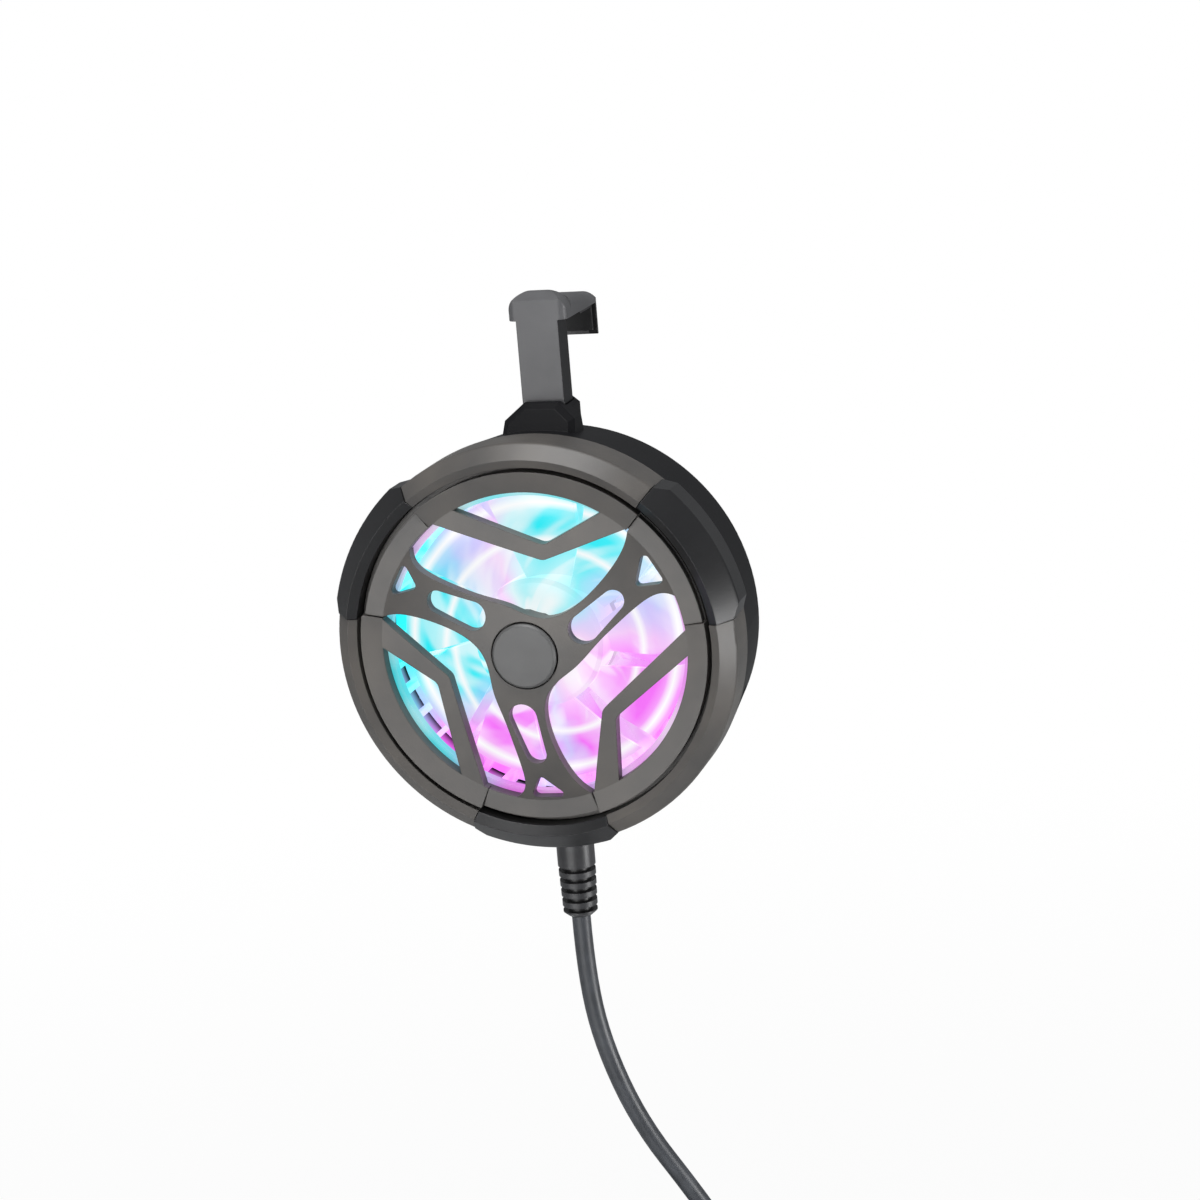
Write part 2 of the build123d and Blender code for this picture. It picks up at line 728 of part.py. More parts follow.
def grille_spider():
    """Three-armed bridge over the fan, from the hub to a foot on the ring at each arm's end."""
    spider = spider_dome()
    recess_floor = spider_apex_height - hub_recess_depth
    boss_bottom = recess_floor - hub_boss_depth
    spider += disc(hub_boss_radius, boss_bottom, spider_apex_height - spider_thickness / 2)
    spider -= [spider_opening(angle) for angle in arm_angles]
    spider -= disc(cap_radius + cap_gap, recess_floor, spider_apex_height + overrun)
    spider -= disc(cap_stem_radius + cap_stem_gap, boss_bottom - overrun, recess_floor + overrun)
    slot_ends = [Pos(*polar(window_radius * share, turn)) * Circle(cap_radius * width)
                 for share, turn, width in arm_slot_shares]
    slot = make_hull([edge for end in slot_ends for edge in end.edges()])
    corners = [polar(window_radius * share, turn) for share, turn in foot_window_shares]
    window = outline(corners, rounded=corners, rounding=cap_radius * window_rounding_share)
    for face in (slot, window):
        cutter = Pos(0, 0, bezel_shelf_top - overrun) * extrude(face, spider_apex_height)
        spider -= around(cutter, arm_angles)
    return spider


def hub_cap():
    floor = spider_apex_height - hub_recess_depth
    cap = disc(cap_radius, floor, cap_height)
    cap = chamfer(cap.edges().group_by(Axis.Z)[-1], cap_chamfer)
    return cap + disc(cap_stem_radius, floor - hub_boss_depth, floor)


# Fan and motor

def fan_rotor():
    """Hub with its blades, each a twisted plate that leans with the turn."""
    chord_shares = (0.86, 0.93, 0.94)
    lean_angles = (0.0, -7.0, -22.0)
    root_radius = rotor_hub_radius - rotor_hub_wall / 2
    radii = (root_radius, (rotor_hub_radius + rotor_radius) / 2, rotor_radius + overrun)
    lift = blade_height - blade_thickness
    sections = []
    for radius, share, lean in zip(radii, chord_shares, lean_angles):
        chord = share * 2 * pi * radius / blade_count
        corners = [(-chord / 2, blade_bottom), (chord / 2, blade_bottom + lift),
                   (chord / 2, blade_top), (-chord / 2, blade_bottom + blade_thickness)]
        plane = Plane(origin=(radius, 0, 0), x_dir=(0, 1, 0), z_dir=(1, 0, 0))
        sections.append(Rot(0, 0, lean) * plane * outline(corners))
    blade = loft(sections, ruled=True)
    blade &= disc(rotor_radius, blade_bottom - overrun, rotor_hub_top, bore=root_radius)
    hub = disc(rotor_hub_radius, rotor_hub_bottom, rotor_hub_top)
    hub -= disc(yoke_radius, rotor_hub_bottom - overrun, rotor_hub_top - rotor_hub_roof)
    hub += disc(bearing_radius, bearing_tube_top + piece_clearance, rotor_hub_top - rotor_hub_roof / 2)
    hub = chamfer(hub.edges().group_by(Axis.Z)[-1], rotor_hub_roof / 2)
    rotor = hub + around(blade, [index * 360 / blade_count for index in range(blade_count)])
    return rotor - disc(shaft_radius, bearing_tube_top, rotor_hub_top - rotor_hub_roof / 2)


def rotor_magnet():
    return disc(magnet_radius, stator_bottom, stator_bottom + magnet_height, bore=magnet_inner_radius)


def rotor_yoke():
    return disc(yoke_radius, rotor_hub_bottom, rotor_hub_top - rotor_hub_roof, bore=magnet_radius)


def rotor_shaft():
    return disc(shaft_radius, motor_plate_top + shaft_end_gap, rotor_hub_top - rotor_hub_roof / 2)


def motor_base():
    """Plate on the heat sink with the tube that holds the bearing and the stator."""
    base = disc(motor_plate_radius, sink_top, motor_plate_top)
    base += disc(bearing_tube_radius + motor_board_seat, motor_plate_top - motor_plate_thickness / 2,
                 motor_plate_top + motor_board_seat)
    base += disc(bearing_tube_radius, motor_plate_top, bearing_tube_top)
    return base - disc(bearing_radius, motor_plate_top, bearing_tube_top + overrun)


def bearing_bush():
    return disc(bearing_radius, motor_plate_top + shaft_end_gap, bearing_tube_top - shaft_end_gap,
                bore=shaft_radius + running_clearance)


def motor_board():
    bottom = motor_plate_top + motor_board_seat
    return disc(motor_board_radius - bearing_tube_wall, bottom, bottom + motor_board_thickness,
                bore=bearing_tube_radius + seam_gap)


def stator_core():
    """Laminated core with six poles that end in curved shoes."""
    yoke = bearing_tube_radius + stator_yoke_wall
    core = disc(yoke, stator_bottom, stator_top, bore=bearing_tube_radius)
    leg_length = stator_radius - yoke
    leg = slab(leg_length, pole_width, stator_bottom, stator_top,
               x=yoke + leg_length / 2 - pole_tip_thickness / 2)
    shoe = turned([(stator_radius - pole_tip_thickness, stator_bottom), (stator_radius, stator_bottom),
                   (stator_radius, stator_top), (stator_radius - pole_tip_thickness, stator_top)],
                  start=-pole_tip_angle / 2, span=pole_tip_angle)
    angles = [index * 360 / pole_count for index in range(pole_count)]
    return core + around(leg, angles) + around(shoe, angles)


def stator_coils():
    """Six windings, one round each pole."""
    yoke = bearing_tube_radius + stator_yoke_wall
    start = yoke + pole_tip_thickness
    shoe_radius = stator_radius - pole_tip_thickness
    half_width = pole_width / 2 + coil_side
    length = sqrt(shoe_radius ** 2 - half_width ** 2) - start - seam_gap
    wound = slab(length, 2 * half_width, stator_bottom - coil_side / 2, stator_top + coil_side / 2)
    wound -= slab(length + overrun, pole_width, stator_bottom, stator_top)
    wound = Pos(start + length / 2, 0, 0) * wound
    return around(wound, [index * 360 / pole_count for index in range(pole_count)])


# Lights and electronics

def light_board():
    return disc(light_board_radius, shelf_bottom - light_board_thickness, shelf_bottom,
                bore=light_board_inner_radius)


def light_chips():
    chip = slab(led_side, led_side, shelf_bottom, shelf_bottom + led_height)
    return around(chip, [index * 360 / led_count for index in range(led_count)], led_circle_radius)


def light_ring():
    """Clear ring round the fan, hollow underneath where the lights sit."""
    outer = bezel_shelf_inner_radius - light_ring_clearance
    ring = disc(outer, shelf_bottom, bezel_shelf_top, bore=light_ring_inner_radius)
    room = led_side / 2 + light_ring_clearance
    groove_top = shelf_bottom + led_height + light_ring_clearance
    groove = disc(led_circle_radius + room, shelf_bottom - overrun, groove_top, bore=led_circle_radius - room)
    return ring - groove


def control_board():
    top = board_level + board_thickness
    return slab(board_width, board_length, board_level, top,
                x=-board_left - board_width / 2, y=board_length / 2 - board_bottom)


def board_chips():
    """The larger parts soldered on the control board."""
    base = board_level + board_thickness
    centre = -board_left - board_width / 2
    place_shares = ((0.22, 0.62, 0.24), (0.55, 0.72, 0.2), (0.84, 0.5, 0.16))
    return [slab(board_width * width, board_length * length, base, base + chip_height,
                 x=centre, y=board_length * share - board_bottom) for share, width, length in place_shares]


# Clamp arm

def upper_jaw():
    """Jaw over the phone's edge: an arched cap in front and a lower hook that slopes down behind it."""
    crown = upper_jaw_height + jaw_crown_height - jaw_pad_thickness
    lip_front = lip_depth - jaw_lip_thickness
    lip_end = upper_jaw_height - jaw_lip_length
    top = (crown, arm_front - jaw_crown_setback)
    cap_back = arm_front - jaw_crown_setback - 2 * jaw_crown_depth
    dip = (crown - jaw_dip, cap_back)
    back = (upper_jaw_height + jaw_back_rise, lip_front + jaw_back_corner)
    body = side_profile(
        [(upper_jaw_height, arm_front), (upper_jaw_height + jaw_shoulder_height, arm_front), top,
         (crown, top[1] - jaw_crown_depth), dip, back,
         (upper_jaw_height + jaw_back_rise - jaw_back_drop, lip_front), (lip_end, lip_front),
         (lip_end, lip_depth), (upper_jaw_height, lip_depth)],
        jaw_width, rounded=[top, dip, back], rounding=jaw_edge_rounding)
    height = crown - lip_end
    arch = Pos(0, -height / 2) * Rectangle(jaw_width, height)
    arch = fillet(arch.vertices().group_by(Axis.Y)[-1], jaw_corner_radius)
    cap = body & Pos(0, crown, cap_back) * extrude(arch, arm_front - cap_back)
    saddle = Pos(0, -height) * Rectangle(jaw_width, 2 * height)
    saddle = fillet(saddle.vertices().group_by(Axis.Y)[-1], jaw_side_rounding)
    slope = Plane(origin=(0, *back), x_dir=(1, 0, 0), z_dir=(0, dip[0] - back[0], dip[1] - back[1]))
    depth = arm_front - lip_front
    hook = body & slab(jaw_width, 2 * height, lip_front, cap_back, y=lip_end)
    hook &= extrude(slope * saddle, depth, both=True)
    plan = Pos(0, (arm_front + lip_front) / 2) * Rectangle(jaw_width, depth)
    plan = fillet(plan.vertices().group_by(Axis.Y)[0], jaw_back_radius)
    plan = fillet(plan.vertices().group_by(Axis.Y)[-1], jaw_front_radius)
    return (cap + hook) & extrude(Plane.XZ * plan, crown + overrun, both=True)


def clamp_arm():
    """Sliding bar with the upper jaw at its top and a cross bar inside the housing."""
    stem_length = upper_jaw_height - bar_bottom + jaw_pad_thickness
    stem = slab(arm_width, stem_length, arm_setback, arm_front, y=bar_bottom + stem_length / 2)
    bar_middle = bar_bottom + arm_bar_height / 2
    bar = slab(arm_bar_width, arm_bar_height, arm_setback, arm_front, y=bar_middle)
    return stem + bar + upper_jaw()


def jaw_pad(edge, inward, width, lip):
    """Rubber sheet on the inside of a jaw: along its floor and up its lip."""
    floor_end = cover_setback - piece_clearance - arm_setback
    inner = edge + inward * jaw_pad_thickness
    tip = edge + inward * lip
    return side_profile(
        [(edge, floor_end), (inner, floor_end), (inner, lip_depth + jaw_pad_thickness),
         (tip, lip_depth + jaw_pad_thickness), (tip, lip_depth), (edge, lip_depth)],
        width - 2 * jaw_pad_margin)


def spring_points():
    """Points and directions of a spring's wire at every half turn."""
    bottom = -post_drop + post_radius + spring_end_play + spring_wire / 2
    top = bar_bottom - spring_end_play - spring_wire / 2
    rise = (top - bottom) / (2 * spring_turns)
    slope = Vector(0, 1, 0) * (rise / (pi * spring_mean_radius))
    points = []
    for half in range(2 * spring_turns + 1):
        side = 1 - 2 * (half % 2)
        place = Vector(side * spring_mean_radius, bottom + rise * half, 0)
        points.append((place, (Vector(0, 0, -side) + slope).normalized()))
    return points


def arm_spring(side):
    """Tension spring that draws the arm down, between its post and the cross bar."""
    points = spring_points()
    first, first_direction = points[0]
    last, last_direction = points[-1]
    edges = [Line(first - first_direction * spring_wire, first)]
    for (start, heading), (end, next_heading) in zip(points, points[1:]):
        edges += biarc(start, heading, end, next_heading)
    edges.append(Line(last, last + last_direction * spring_wire))
    path = Wire(edges)
    section = Plane(origin=path @ 0, z_dir=path % 0) * Circle(spring_wire / 2)
    gap = least_gap(path, spring_wire, spring_mean_radius)
    print("spring", round(path.length, 1), "mm of wire, least gap", round(gap, 2),
          "wanted over", wound_least_gap)
    coil = sweep(section, path=path)
    return Pos(side * spring_offset, 0, arm_setback + arm_thickness / 2) * coil


# Cord

# Route of the free cord in the part's frame, from the strain relief to the coil
cord_route = (
    (0.0, -10.3, -43.95), (0.0, -10.3, -53.0), (1.6, -10.2, -64.5), (6.2, -9.6, -77.5),
    (13.6, -8.0, -89.5), (19.6, -6.2, -101.0), (22.6, -5.2, -110.5), (22.6, -5.2, -119.0))
# Route of the short end between the coil and the plug
tail_route = ((20.65, -16.9, -124.6), (20.65, -16.9, -132.5), (21.3, -17.1, -141.0), (21.3, -17.1, -149.0))


def cord_tube(route):
    """Tube of straight runs and arcs along a route, and a print of how it bends."""
    points = [Vector(*point) for point in route]
    runs = [b - a for a, b in zip(points, points[1:])]
    radii = []
    for before, after in zip(runs, runs[1:]):
        turn = radians(before.get_angle(after))
        radii.append(0.45 * min(before.length, after.length) / (sin(turn) / (1 + cos(turn))))
    path = FilletPolyline(*points, radius=radii)
    section = Plane(origin=points[0], z_dir=runs[0]) * Circle(cord_diameter / 2)
    tube = sweep(section, path=path)
    exact = pi * cord_diameter ** 2 / 4 * path.length
    print("cord", round(path.length, 1), "mm, volume over section times length",
          round(tube.volume / exact, 4), "arc radii", [round(r, 1) for r in radii])
    return tube


def coil_crossings():
    """Where the wound cord crosses the coil's level line, with its direction, at every half turn."""
    lead = cord_route[-1]
    step = coil_pitch / 2
    radius = coil_inner_radius + step * coil_half_turns_in_layers[0]
    centre = Vector(lead[0] - radius, lead[1], lead[2] - cord_diameter)
    layer = 0
    side = 1
    points = [(centre + Vector(radius, 0, 0), Vector(0, 0, -1))]
    for index, halves in enumerate(coil_half_turns_in_layers):
        inward = index % 2 == 0
        for half in range(halves):
            radius += -step if inward else step
            side = -side
            points.append((centre + Vector(side * radius, -layer * coil_pitch, 0), Vector(0, 0, -side)))
        if index < len(coil_half_turns_in_layers) - 1:
            layer += 1
            side = -side
            points.append((centre + Vector(side * radius, -layer * coil_pitch, 0), Vector(0, 0, -side)))
    return centre, points


def cord_coil():
    """The rest of the cord, wound in four layers into a round coil."""
    centre, points = coil_crossings()
    first, first_direction = points[0]
    last, last_direction = points[-1]
    edges = [Line(first - first_direction * cord_diameter, first)]
    for (start, heading), (end, next_heading) in zip(points, points[1:]):
        edges += biarc(start, heading, end, next_heading)
    edges.append(Line(last, last + last_direction * cord_diameter))
    path = Wire(edges)
    section = Plane(origin=path @ 0, z_dir=path % 0) * Circle(cord_diameter / 2)
    gap = least_gap(path, cord_diameter, coil_inner_radius)
    print("coil", round(path.length, 1), "mm, least gap", round(gap, 2), "wanted over", wound_least_gap)
    print("coil ends at", path @ 1)
    return sweep(section, path=path)


def cable_tie():
    """Strap round all the turns at the top of the coil."""
    centre, points = coil_crossings()
    layers = len(coil_half_turns_in_layers)
    outer_radius = coil_inner_radius + coil_pitch / 2 * (coil_half_turns_in_layers[1] - 0.5)
    low = coil_inner_radius - cord_diameter / 2 - tie_clearance
    high = outer_radius + cord_diameter / 2 + tie_clearance
    depth = (layers - 1) * coil_pitch + cord_diameter + 2 * tie_clearance
    middle = centre + Vector(0, -(layers - 1) * coil_pitch / 2, (low + high) / 2)
    section = RectangleRounded(depth + 2 * tie_thickness, high - low + 2 * tie_thickness, 2 * tie_thickness)
    section -= RectangleRounded(depth, high - low, tie_thickness)
    plane = Plane(origin=middle, x_dir=(0, 1, 0), z_dir=(1, 0, 0))
    return extrude(plane * section, tie_width / 2, both=True)


def strain_relief():
    """Rubber sleeve with a flange inside the shell and grooves near the cord."""
    points = [(0, -relief_flange_face + relief_flange_thickness),
              (relief_flange_radius, -relief_flange_face + relief_flange_thickness),
              (relief_flange_radius, -relief_flange_face), (relief_radius, -relief_flange_face),
              (relief_radius, -relief_collar_end)]
    pitch = (relief_end - relief_collar_end) / relief_groove_count
    for index in range(relief_groove_count):
        top = relief_collar_end + index * pitch
        share = (index + 1) / relief_groove_count
        radius = relief_radius + (relief_end_radius - relief_radius) * share
        floor = radius - relief_groove_depth
        points += [(floor, -top), (floor, -top - relief_groove_width),
                   (radius, -top - relief_groove_width), (radius, -top - pitch)]
    points[-1] = (relief_end_radius, -relief_end + relief_tip_length)
    points += [(cord_diameter / 2 + relief_tip_wall, -relief_end), (0, -relief_end)]
    return Pos(0, 0, cord_depth) * revolve(outline(points), Axis.Y)


def plug_frame():
    """Plane at the tail's end, with its normal along the plug."""
    return Plane(origin=tail_route[-1], x_dir=(1, 0, 0), z_dir=(0, 0, -1))


def plug_body():
    """Moulded grip of the plug, with a short neck round the cord."""
    grip = RectangleRounded(plug_body_width, plug_body_thickness, plug_body_rounding)
    body = Pos(0, 0, plug_neck_length) * extrude(grip, plug_body_length)
    neck_end = Circle(cord_diameter / 2 + plug_shell_wall)
    neck = loft([neck_end, Pos(0, 0, plug_neck_length) * Circle(plug_neck_radius)])
    return plug_frame() * (body + neck)


def plug_shell():
    """Metal tube of the USB plug."""
    base = plug_neck_length + plug_body_length
    tube = Rectangle(plug_shell_width, plug_shell_thickness)
    tube -= Rectangle(plug_shell_width - 2 * plug_shell_wall, plug_shell_thickness - 2 * plug_shell_wall)
    return plug_frame() * Pos(0, 0, base) * extrude(tube, plug_shell_length)


def plug_tongue():
    """Insulating tongue inside the plug's shell."""
    base = plug_neck_length + plug_body_length
    width = plug_shell_width - 2 * plug_shell_wall
    offset = plug_shell_thickness / 2 - plug_shell_wall - plug_tongue_thickness / 2
    bar = extrude(Rectangle(width, plug_tongue_thickness), plug_shell_length - plug_tongue_setback)
    return plug_frame() * Pos(0, offset, base) * bar


# Pieces drawn in the bench frame
bench_pieces = {
    "thermal_pad": thermal_pad(),
    "cold_plate": cold_plate(),
    "peltier_module": peltier_module(),
    "insulation_gasket": insulation_gasket(),
    "heat_sink": heat_sink(),
    "back_cover": back_cover(),
    "rear_shell": rear_shell(),
    "front_bezel": front_bezel(),
    "grille_ring": grille_ring(),
    "grille_spider": grille_spider(),
    "hub_cap": hub_cap(),
    "fan_rotor": fan_rotor(),
    "rotor_magnet": rotor_magnet(),
    "rotor_yoke": rotor_yoke(),
    "rotor_shaft": rotor_shaft(),
    "motor_base": motor_base(),
    "bearing_bush": bearing_bush(),
    "motor_board": motor_board(),
    "stator_core": stator_core(),
    "light_board": light_board(),
    "light_ring": light_ring(),
    "control_board": control_board(),
    "clamp_arm": clamp_arm(),
    "upper_jaw_pad": jaw_pad(upper_jaw_height, -1, jaw_width, jaw_lip_length - jaw_pad_margin),
    "lower_jaw_pad": jaw_pad(hook_floor_height, 1, hook_width, hook_lip_length - jaw_pad_margin),
    "arm_spring_left": arm_spring(-1),
    "arm_spring_right": arm_spring(1),
    "strain_relief": strain_relief(),
}
for name, angle in zip(("bezel_guard_right", "bezel_guard_left", "bezel_guard_bottom"), arm_angles):
    bench_pieces[name] = bezel_guard(angle)
for name, piece in bench_pieces.items():
    save(upright(piece), name)

# Groups of equal pieces, each group in one file
bench_groups = {
    "sink_screws": sink_screws(),
    "cover_screws": cover_screws(),
    "stator_coils": stator_coils(),
    "light_chips": light_chips(),
    "board_chips": board_chips(),
}
for name, pieces in bench_groups.items():
    save(Compound(children=[upright(piece) for piece in pieces]), name)

# Pieces drawn where they hang
hanging_pieces = {
    "power_cord": cord_tube(cord_route),
    "cord_coil": cord_coil(),
    "cord_tail": cord_tube(tail_route),
    "cable_tie": cable_tie(),
    "plug_body": plug_body(),
    "plug_shell": plug_shell(),
    "plug_tongue": plug_tongue(),
}
for name, piece in hanging_pieces.items():
    save(piece, name)
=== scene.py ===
import bpy
import math
from mathutils import Matrix, Vector


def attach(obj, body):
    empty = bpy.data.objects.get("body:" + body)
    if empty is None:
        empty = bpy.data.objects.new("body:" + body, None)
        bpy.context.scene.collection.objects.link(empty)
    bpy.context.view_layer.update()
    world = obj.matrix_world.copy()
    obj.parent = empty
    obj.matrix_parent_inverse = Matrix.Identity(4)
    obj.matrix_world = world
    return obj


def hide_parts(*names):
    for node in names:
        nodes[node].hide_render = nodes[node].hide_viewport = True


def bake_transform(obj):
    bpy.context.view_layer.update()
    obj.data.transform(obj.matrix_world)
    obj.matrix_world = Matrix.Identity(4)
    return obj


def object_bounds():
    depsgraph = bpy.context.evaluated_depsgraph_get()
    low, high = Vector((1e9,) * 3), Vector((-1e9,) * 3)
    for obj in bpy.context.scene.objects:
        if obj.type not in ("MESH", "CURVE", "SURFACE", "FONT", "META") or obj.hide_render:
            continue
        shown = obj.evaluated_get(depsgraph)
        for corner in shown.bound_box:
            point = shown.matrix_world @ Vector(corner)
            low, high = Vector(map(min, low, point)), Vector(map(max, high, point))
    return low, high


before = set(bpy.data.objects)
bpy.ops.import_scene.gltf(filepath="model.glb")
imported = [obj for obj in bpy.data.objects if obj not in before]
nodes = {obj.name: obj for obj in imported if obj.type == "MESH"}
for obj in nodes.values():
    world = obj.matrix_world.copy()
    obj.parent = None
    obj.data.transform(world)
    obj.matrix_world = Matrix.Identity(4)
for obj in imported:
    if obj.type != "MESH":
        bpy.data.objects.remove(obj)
cad_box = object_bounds()

MM = 0.001

# Camera, as fitted to the photograph: angles in degrees, lengths in millimetres
CAMERA_AZIMUTH = 16.31
CAMERA_ELEVATION = 13.58
CAMERA_ROLL = -4.71
CAMERA_TARGET = (3.86, 0.0, 1.22)
CAMERA_DISTANCE = 431.49
CAMERA_LENS = 87.83
CAMERA_CLIP_START = 10.0
SENSOR_WIDTH = 36.0

# Cord, its route and its coil, in millimetres
CORD_DIAMETER = 2.8
CORD_ROUTE = (
    (0.0, -10.3, -43.95), (0.0, -10.3, -53.0), (1.6, -10.2, -64.5), (6.2, -9.6, -77.5),
    (13.6, -8.0, -89.5), (19.6, -6.2, -101.0), (22.6, -5.2, -110.5), (22.6, -5.2, -119.0))
TAIL_ROUTE = ((20.65, -16.9, -124.6), (20.65, -16.9, -132.5), (21.3, -17.1, -141.0), (21.3, -17.1, -149.0))
COIL_INNER_RADIUS = 10.0
COIL_PITCH = 3.9
COIL_HALF_TURNS = (7, 6, 6, 6)
COIL_POINTS_IN_HALF_TURN = 8
# Fineness of the cord's curve along its route and round its section
CORD_STEPS = 6
CORD_SECTION_STEPS = 6

# Where the painted shade on the sides of the arm's stem begins, in millimetres from its middle and from the
# fan's axis
STEM_HALF_WIDTH = 3.05
JAW_BOTTOM = 44.0

# Grooves of the strain relief, whose floors get painted shade, in millimetres: depth of its axis, radius
# that they stay within, and height
RELIEF_DEPTH = CORD_ROUTE[0][1]
GROOVE_RADIUS = 2.2
GROOVE_TOP = -36.1

# Colours as written in linear light
SHELL_BLACK = (0.0065, 0.0065, 0.0075)
GUARD_BLACK = (0.013, 0.013, 0.014)
COVER_BLACK = (0.022, 0.022, 0.024)
FRONT_GREY = (0.088, 0.084, 0.081)
FRONT_WARM_GREY = (0.096, 0.088, 0.080)
ARM_GREY = (0.090, 0.090, 0.094)
CAP_GREY = (0.092, 0.092, 0.092)
CORD_GREY = (0.048, 0.052, 0.060)
RELIEF_GREY = (0.036, 0.036, 0.039)
RUBBER_BLACK = (0.020, 0.020, 0.021)
PLUG_BLACK = (0.030, 0.030, 0.032)
CHIP_BLACK = (0.02, 0.02, 0.02)
FERRITE_BLACK = (0.03, 0.03, 0.03)
CERAMIC_WHITE = (0.78, 0.78, 0.75)
TONGUE_WHITE = (0.72, 0.72, 0.70)
STEEL = (0.62, 0.62, 0.63)
DARK_STEEL = (0.16, 0.16, 0.17)
ALUMINIUM = (0.78, 0.79, 0.80)
CAST_ALUMINIUM = (0.50, 0.51, 0.53)
MOTOR_METAL = (0.20, 0.21, 0.22)
BRONZE = (0.60, 0.36, 0.16)
NICKEL = (0.75, 0.74, 0.72)
COPPER_SHADES = ((0.28, 0.07, 0.02), (0.75, 0.30, 0.10))
SHEET_SHADES = ((0.31, 0.33, 0.35), (0.38, 0.39, 0.41))
BOARD_GREEN = (0.006, 0.07, 0.022)
TRACK_GREEN = (0.02, 0.16, 0.05)
BLADE_GREY = (0.05, 0.055, 0.06)
GUIDE_GREY = (0.2, 0.21, 0.22)
FLOOR_GREY = (0.60, 0.61, 0.62)
WORLD_BLUE = (0.9, 0.95, 1.0)
CYAN = (0.02, 0.86, 0.95)
SKY = (0.30, 0.72, 1.00)
PALE_CYAN = (0.62, 0.95, 1.00)
PERIWINKLE = (0.38, 0.52, 1.00)
LILAC = (0.66, 0.58, 1.00)
PINK = (0.92, 0.56, 0.96)
MAGENTA = (0.95, 0.16, 0.98)
WHITE = (1.0, 1.0, 1.0)

# Shades of plastic, rubber and metal: value of the noise, and share of the colour that it gives there
PLASTIC_SHADES = ((0.3, 0.86), (0.7, 1.14))
RUBBER_SHADES = ((0.35, 0.8), (0.65, 1.2))
METAL_SHADES = ((0.3, 0.9), (0.7, 1.0))
SHEET_STOPS = (0.35, 0.65)
# Size of their patches and grain, depth of the grain and rounding of their edges, in millimetres
PLASTIC_PATCH = 9.0
PLASTIC_GRAIN = 0.22
PLASTIC_GRAIN_DEPTH = 0.0198
PLASTIC_ROUNDING = 0.18
RUBBER_PATCH = 3.0
RUBBER_GRAIN = 0.3
RUBBER_GRAIN_DEPTH = 0.02
RUBBER_ROUNDING = 0.12
METAL_GRAIN = 0.4
CAST_GRAIN = 0.8
METAL_SCRATCH_DEPTH = 0.008
METAL_ROUNDING = 0.06
# How far their roughness varies, and how strongly the grain shows
PLASTIC_ROUGHNESS_SPAN = 0.12
PLASTIC_GRAIN_STRENGTH = 0.55
RUBBER_ROUGHNESS_SPAN = 0.16
RUBBER_GRAIN_STRENGTH = 0.5
METAL_ROUGHNESS_SPAN = 0.2
METAL_SCRATCH_STRENGTH = 0.4
# Stretch of the noise of brushed metal along X, Y and Z: the smallest is the way of the strokes
STROKES_ALONG_X = (0.05, 1.0, 1.0)
STROKES_ALONG_Z = (1.0, 1.0, 0.06)

# Smaller patterns, in millimetres: size and depth of tracks, ribs and wires, patches of the thermal sheet
TRACK_CELL = 1.6
TRACK_DEPTH = 0.03
SHEET_RIB = 3.2
SHEET_RIB_DEPTH = 0.03
SHEET_PATCH = 4.0
SHEET_ROUNDING = 0.1
WIRE_WIDTH = 1.2
WIRE_DEPTH = 0.05
BLADE_ROUNDING = 0.15
# Distance from a cell's edge, and share of track there
TRACK_STOPS = ((0.05, 1.0), (0.09, 0.0))

# Colours of the lit fan by angle from +X towards +Z, in degrees
FAN_LIGHT = (
    (0, MAGENTA), (18, PINK), (36, LILAC), (52, SKY), (66, CYAN), (104, CYAN), (118, PALE_CYAN),
    (132, PINK), (146, LILAC), (160, SKY), (176, CYAN), (226, CYAN), (240, PERIWINKLE),
    (254, MAGENTA), (278, MAGENTA), (292, LILAC), (306, MAGENTA), (324, PINK), (340, MAGENTA))
# Share of white near the hub, by the same angle
HUB_LIGHT = (
    (0, 0.45), (30, 0.25), (60, 0.35), (85, 0.90), (108, 0.50), (150, 0.12), (230, 0.05),
    (285, 0.30), (315, 0.85), (340, 0.70), (360, 0.45))
# Rings of white light in the fan: radius and width in millimetres, and share of white
FAN_RINGS = ((19.6, 1.0, 1.0), (19.6, 2.2, 0.35), (14.3, 0.8, 0.95), (14.3, 1.8, 0.30))
# Degrees that the fan's colours and its white streaks turn for each millimetre outwards
COLOUR_TWIST = 1.2
STREAK_TWIST = 3.5
# Wander of the colours: size in millimetres, and share of a turn
WANDER_SIZE = 7.0
WANDER_SHARE = 0.10
# Streaks: radius of the circle that a turn makes in their noise, and its step for each millimetre outwards
STREAK_CIRCLE = 2.6
STREAK_STEP = 0.09
# Value of the streaks' noise, and share of white that it gives there
STREAK_STOPS = ((0.43, 0.0), (0.62, 0.95))
# Light at the axis, cut off at one, and its loss for each millimetre outwards
STREAK_FADE = (1.15, 0.042)
HUB_FADE = (1.75, 0.115)
# The fan's light on what is behind the blades: where it starts, in millimetres from the phone's back, its
# gain for each millimetre forwards, and the radius that it reaches
GLOW_DEPTH = 4.9
GLOW_GAIN = 0.4
GLOW_RADIUS = 27.2
# Radius beyond which it grows, the share of that growth that each millimetre adds, and the growth in all
BLADE_RADIUS = 20.5
RIM_GAIN = 0.7
RIM_SHARE = 0.6
# Strength of the light of the fan, the light ring and its chips, and of the fan's light on the boards
FAN_STRENGTH = 0.92
LIGHT_RING_STRENGTH = 0.62
LIGHT_CHIP_STRENGTH = 2.0
BOARD_GLOW = 0.5
# Chips round the light ring, and the swing and middle of the share of white over them
CHIP_COUNT = 12
SPOT_SWING = 0.2
SPOT_MIDDLE = 0.1

# Share of plain white in what the camera sees of the floor, near the object and far from it
FLOOR_WHITENESS = (0.94, 1.0)
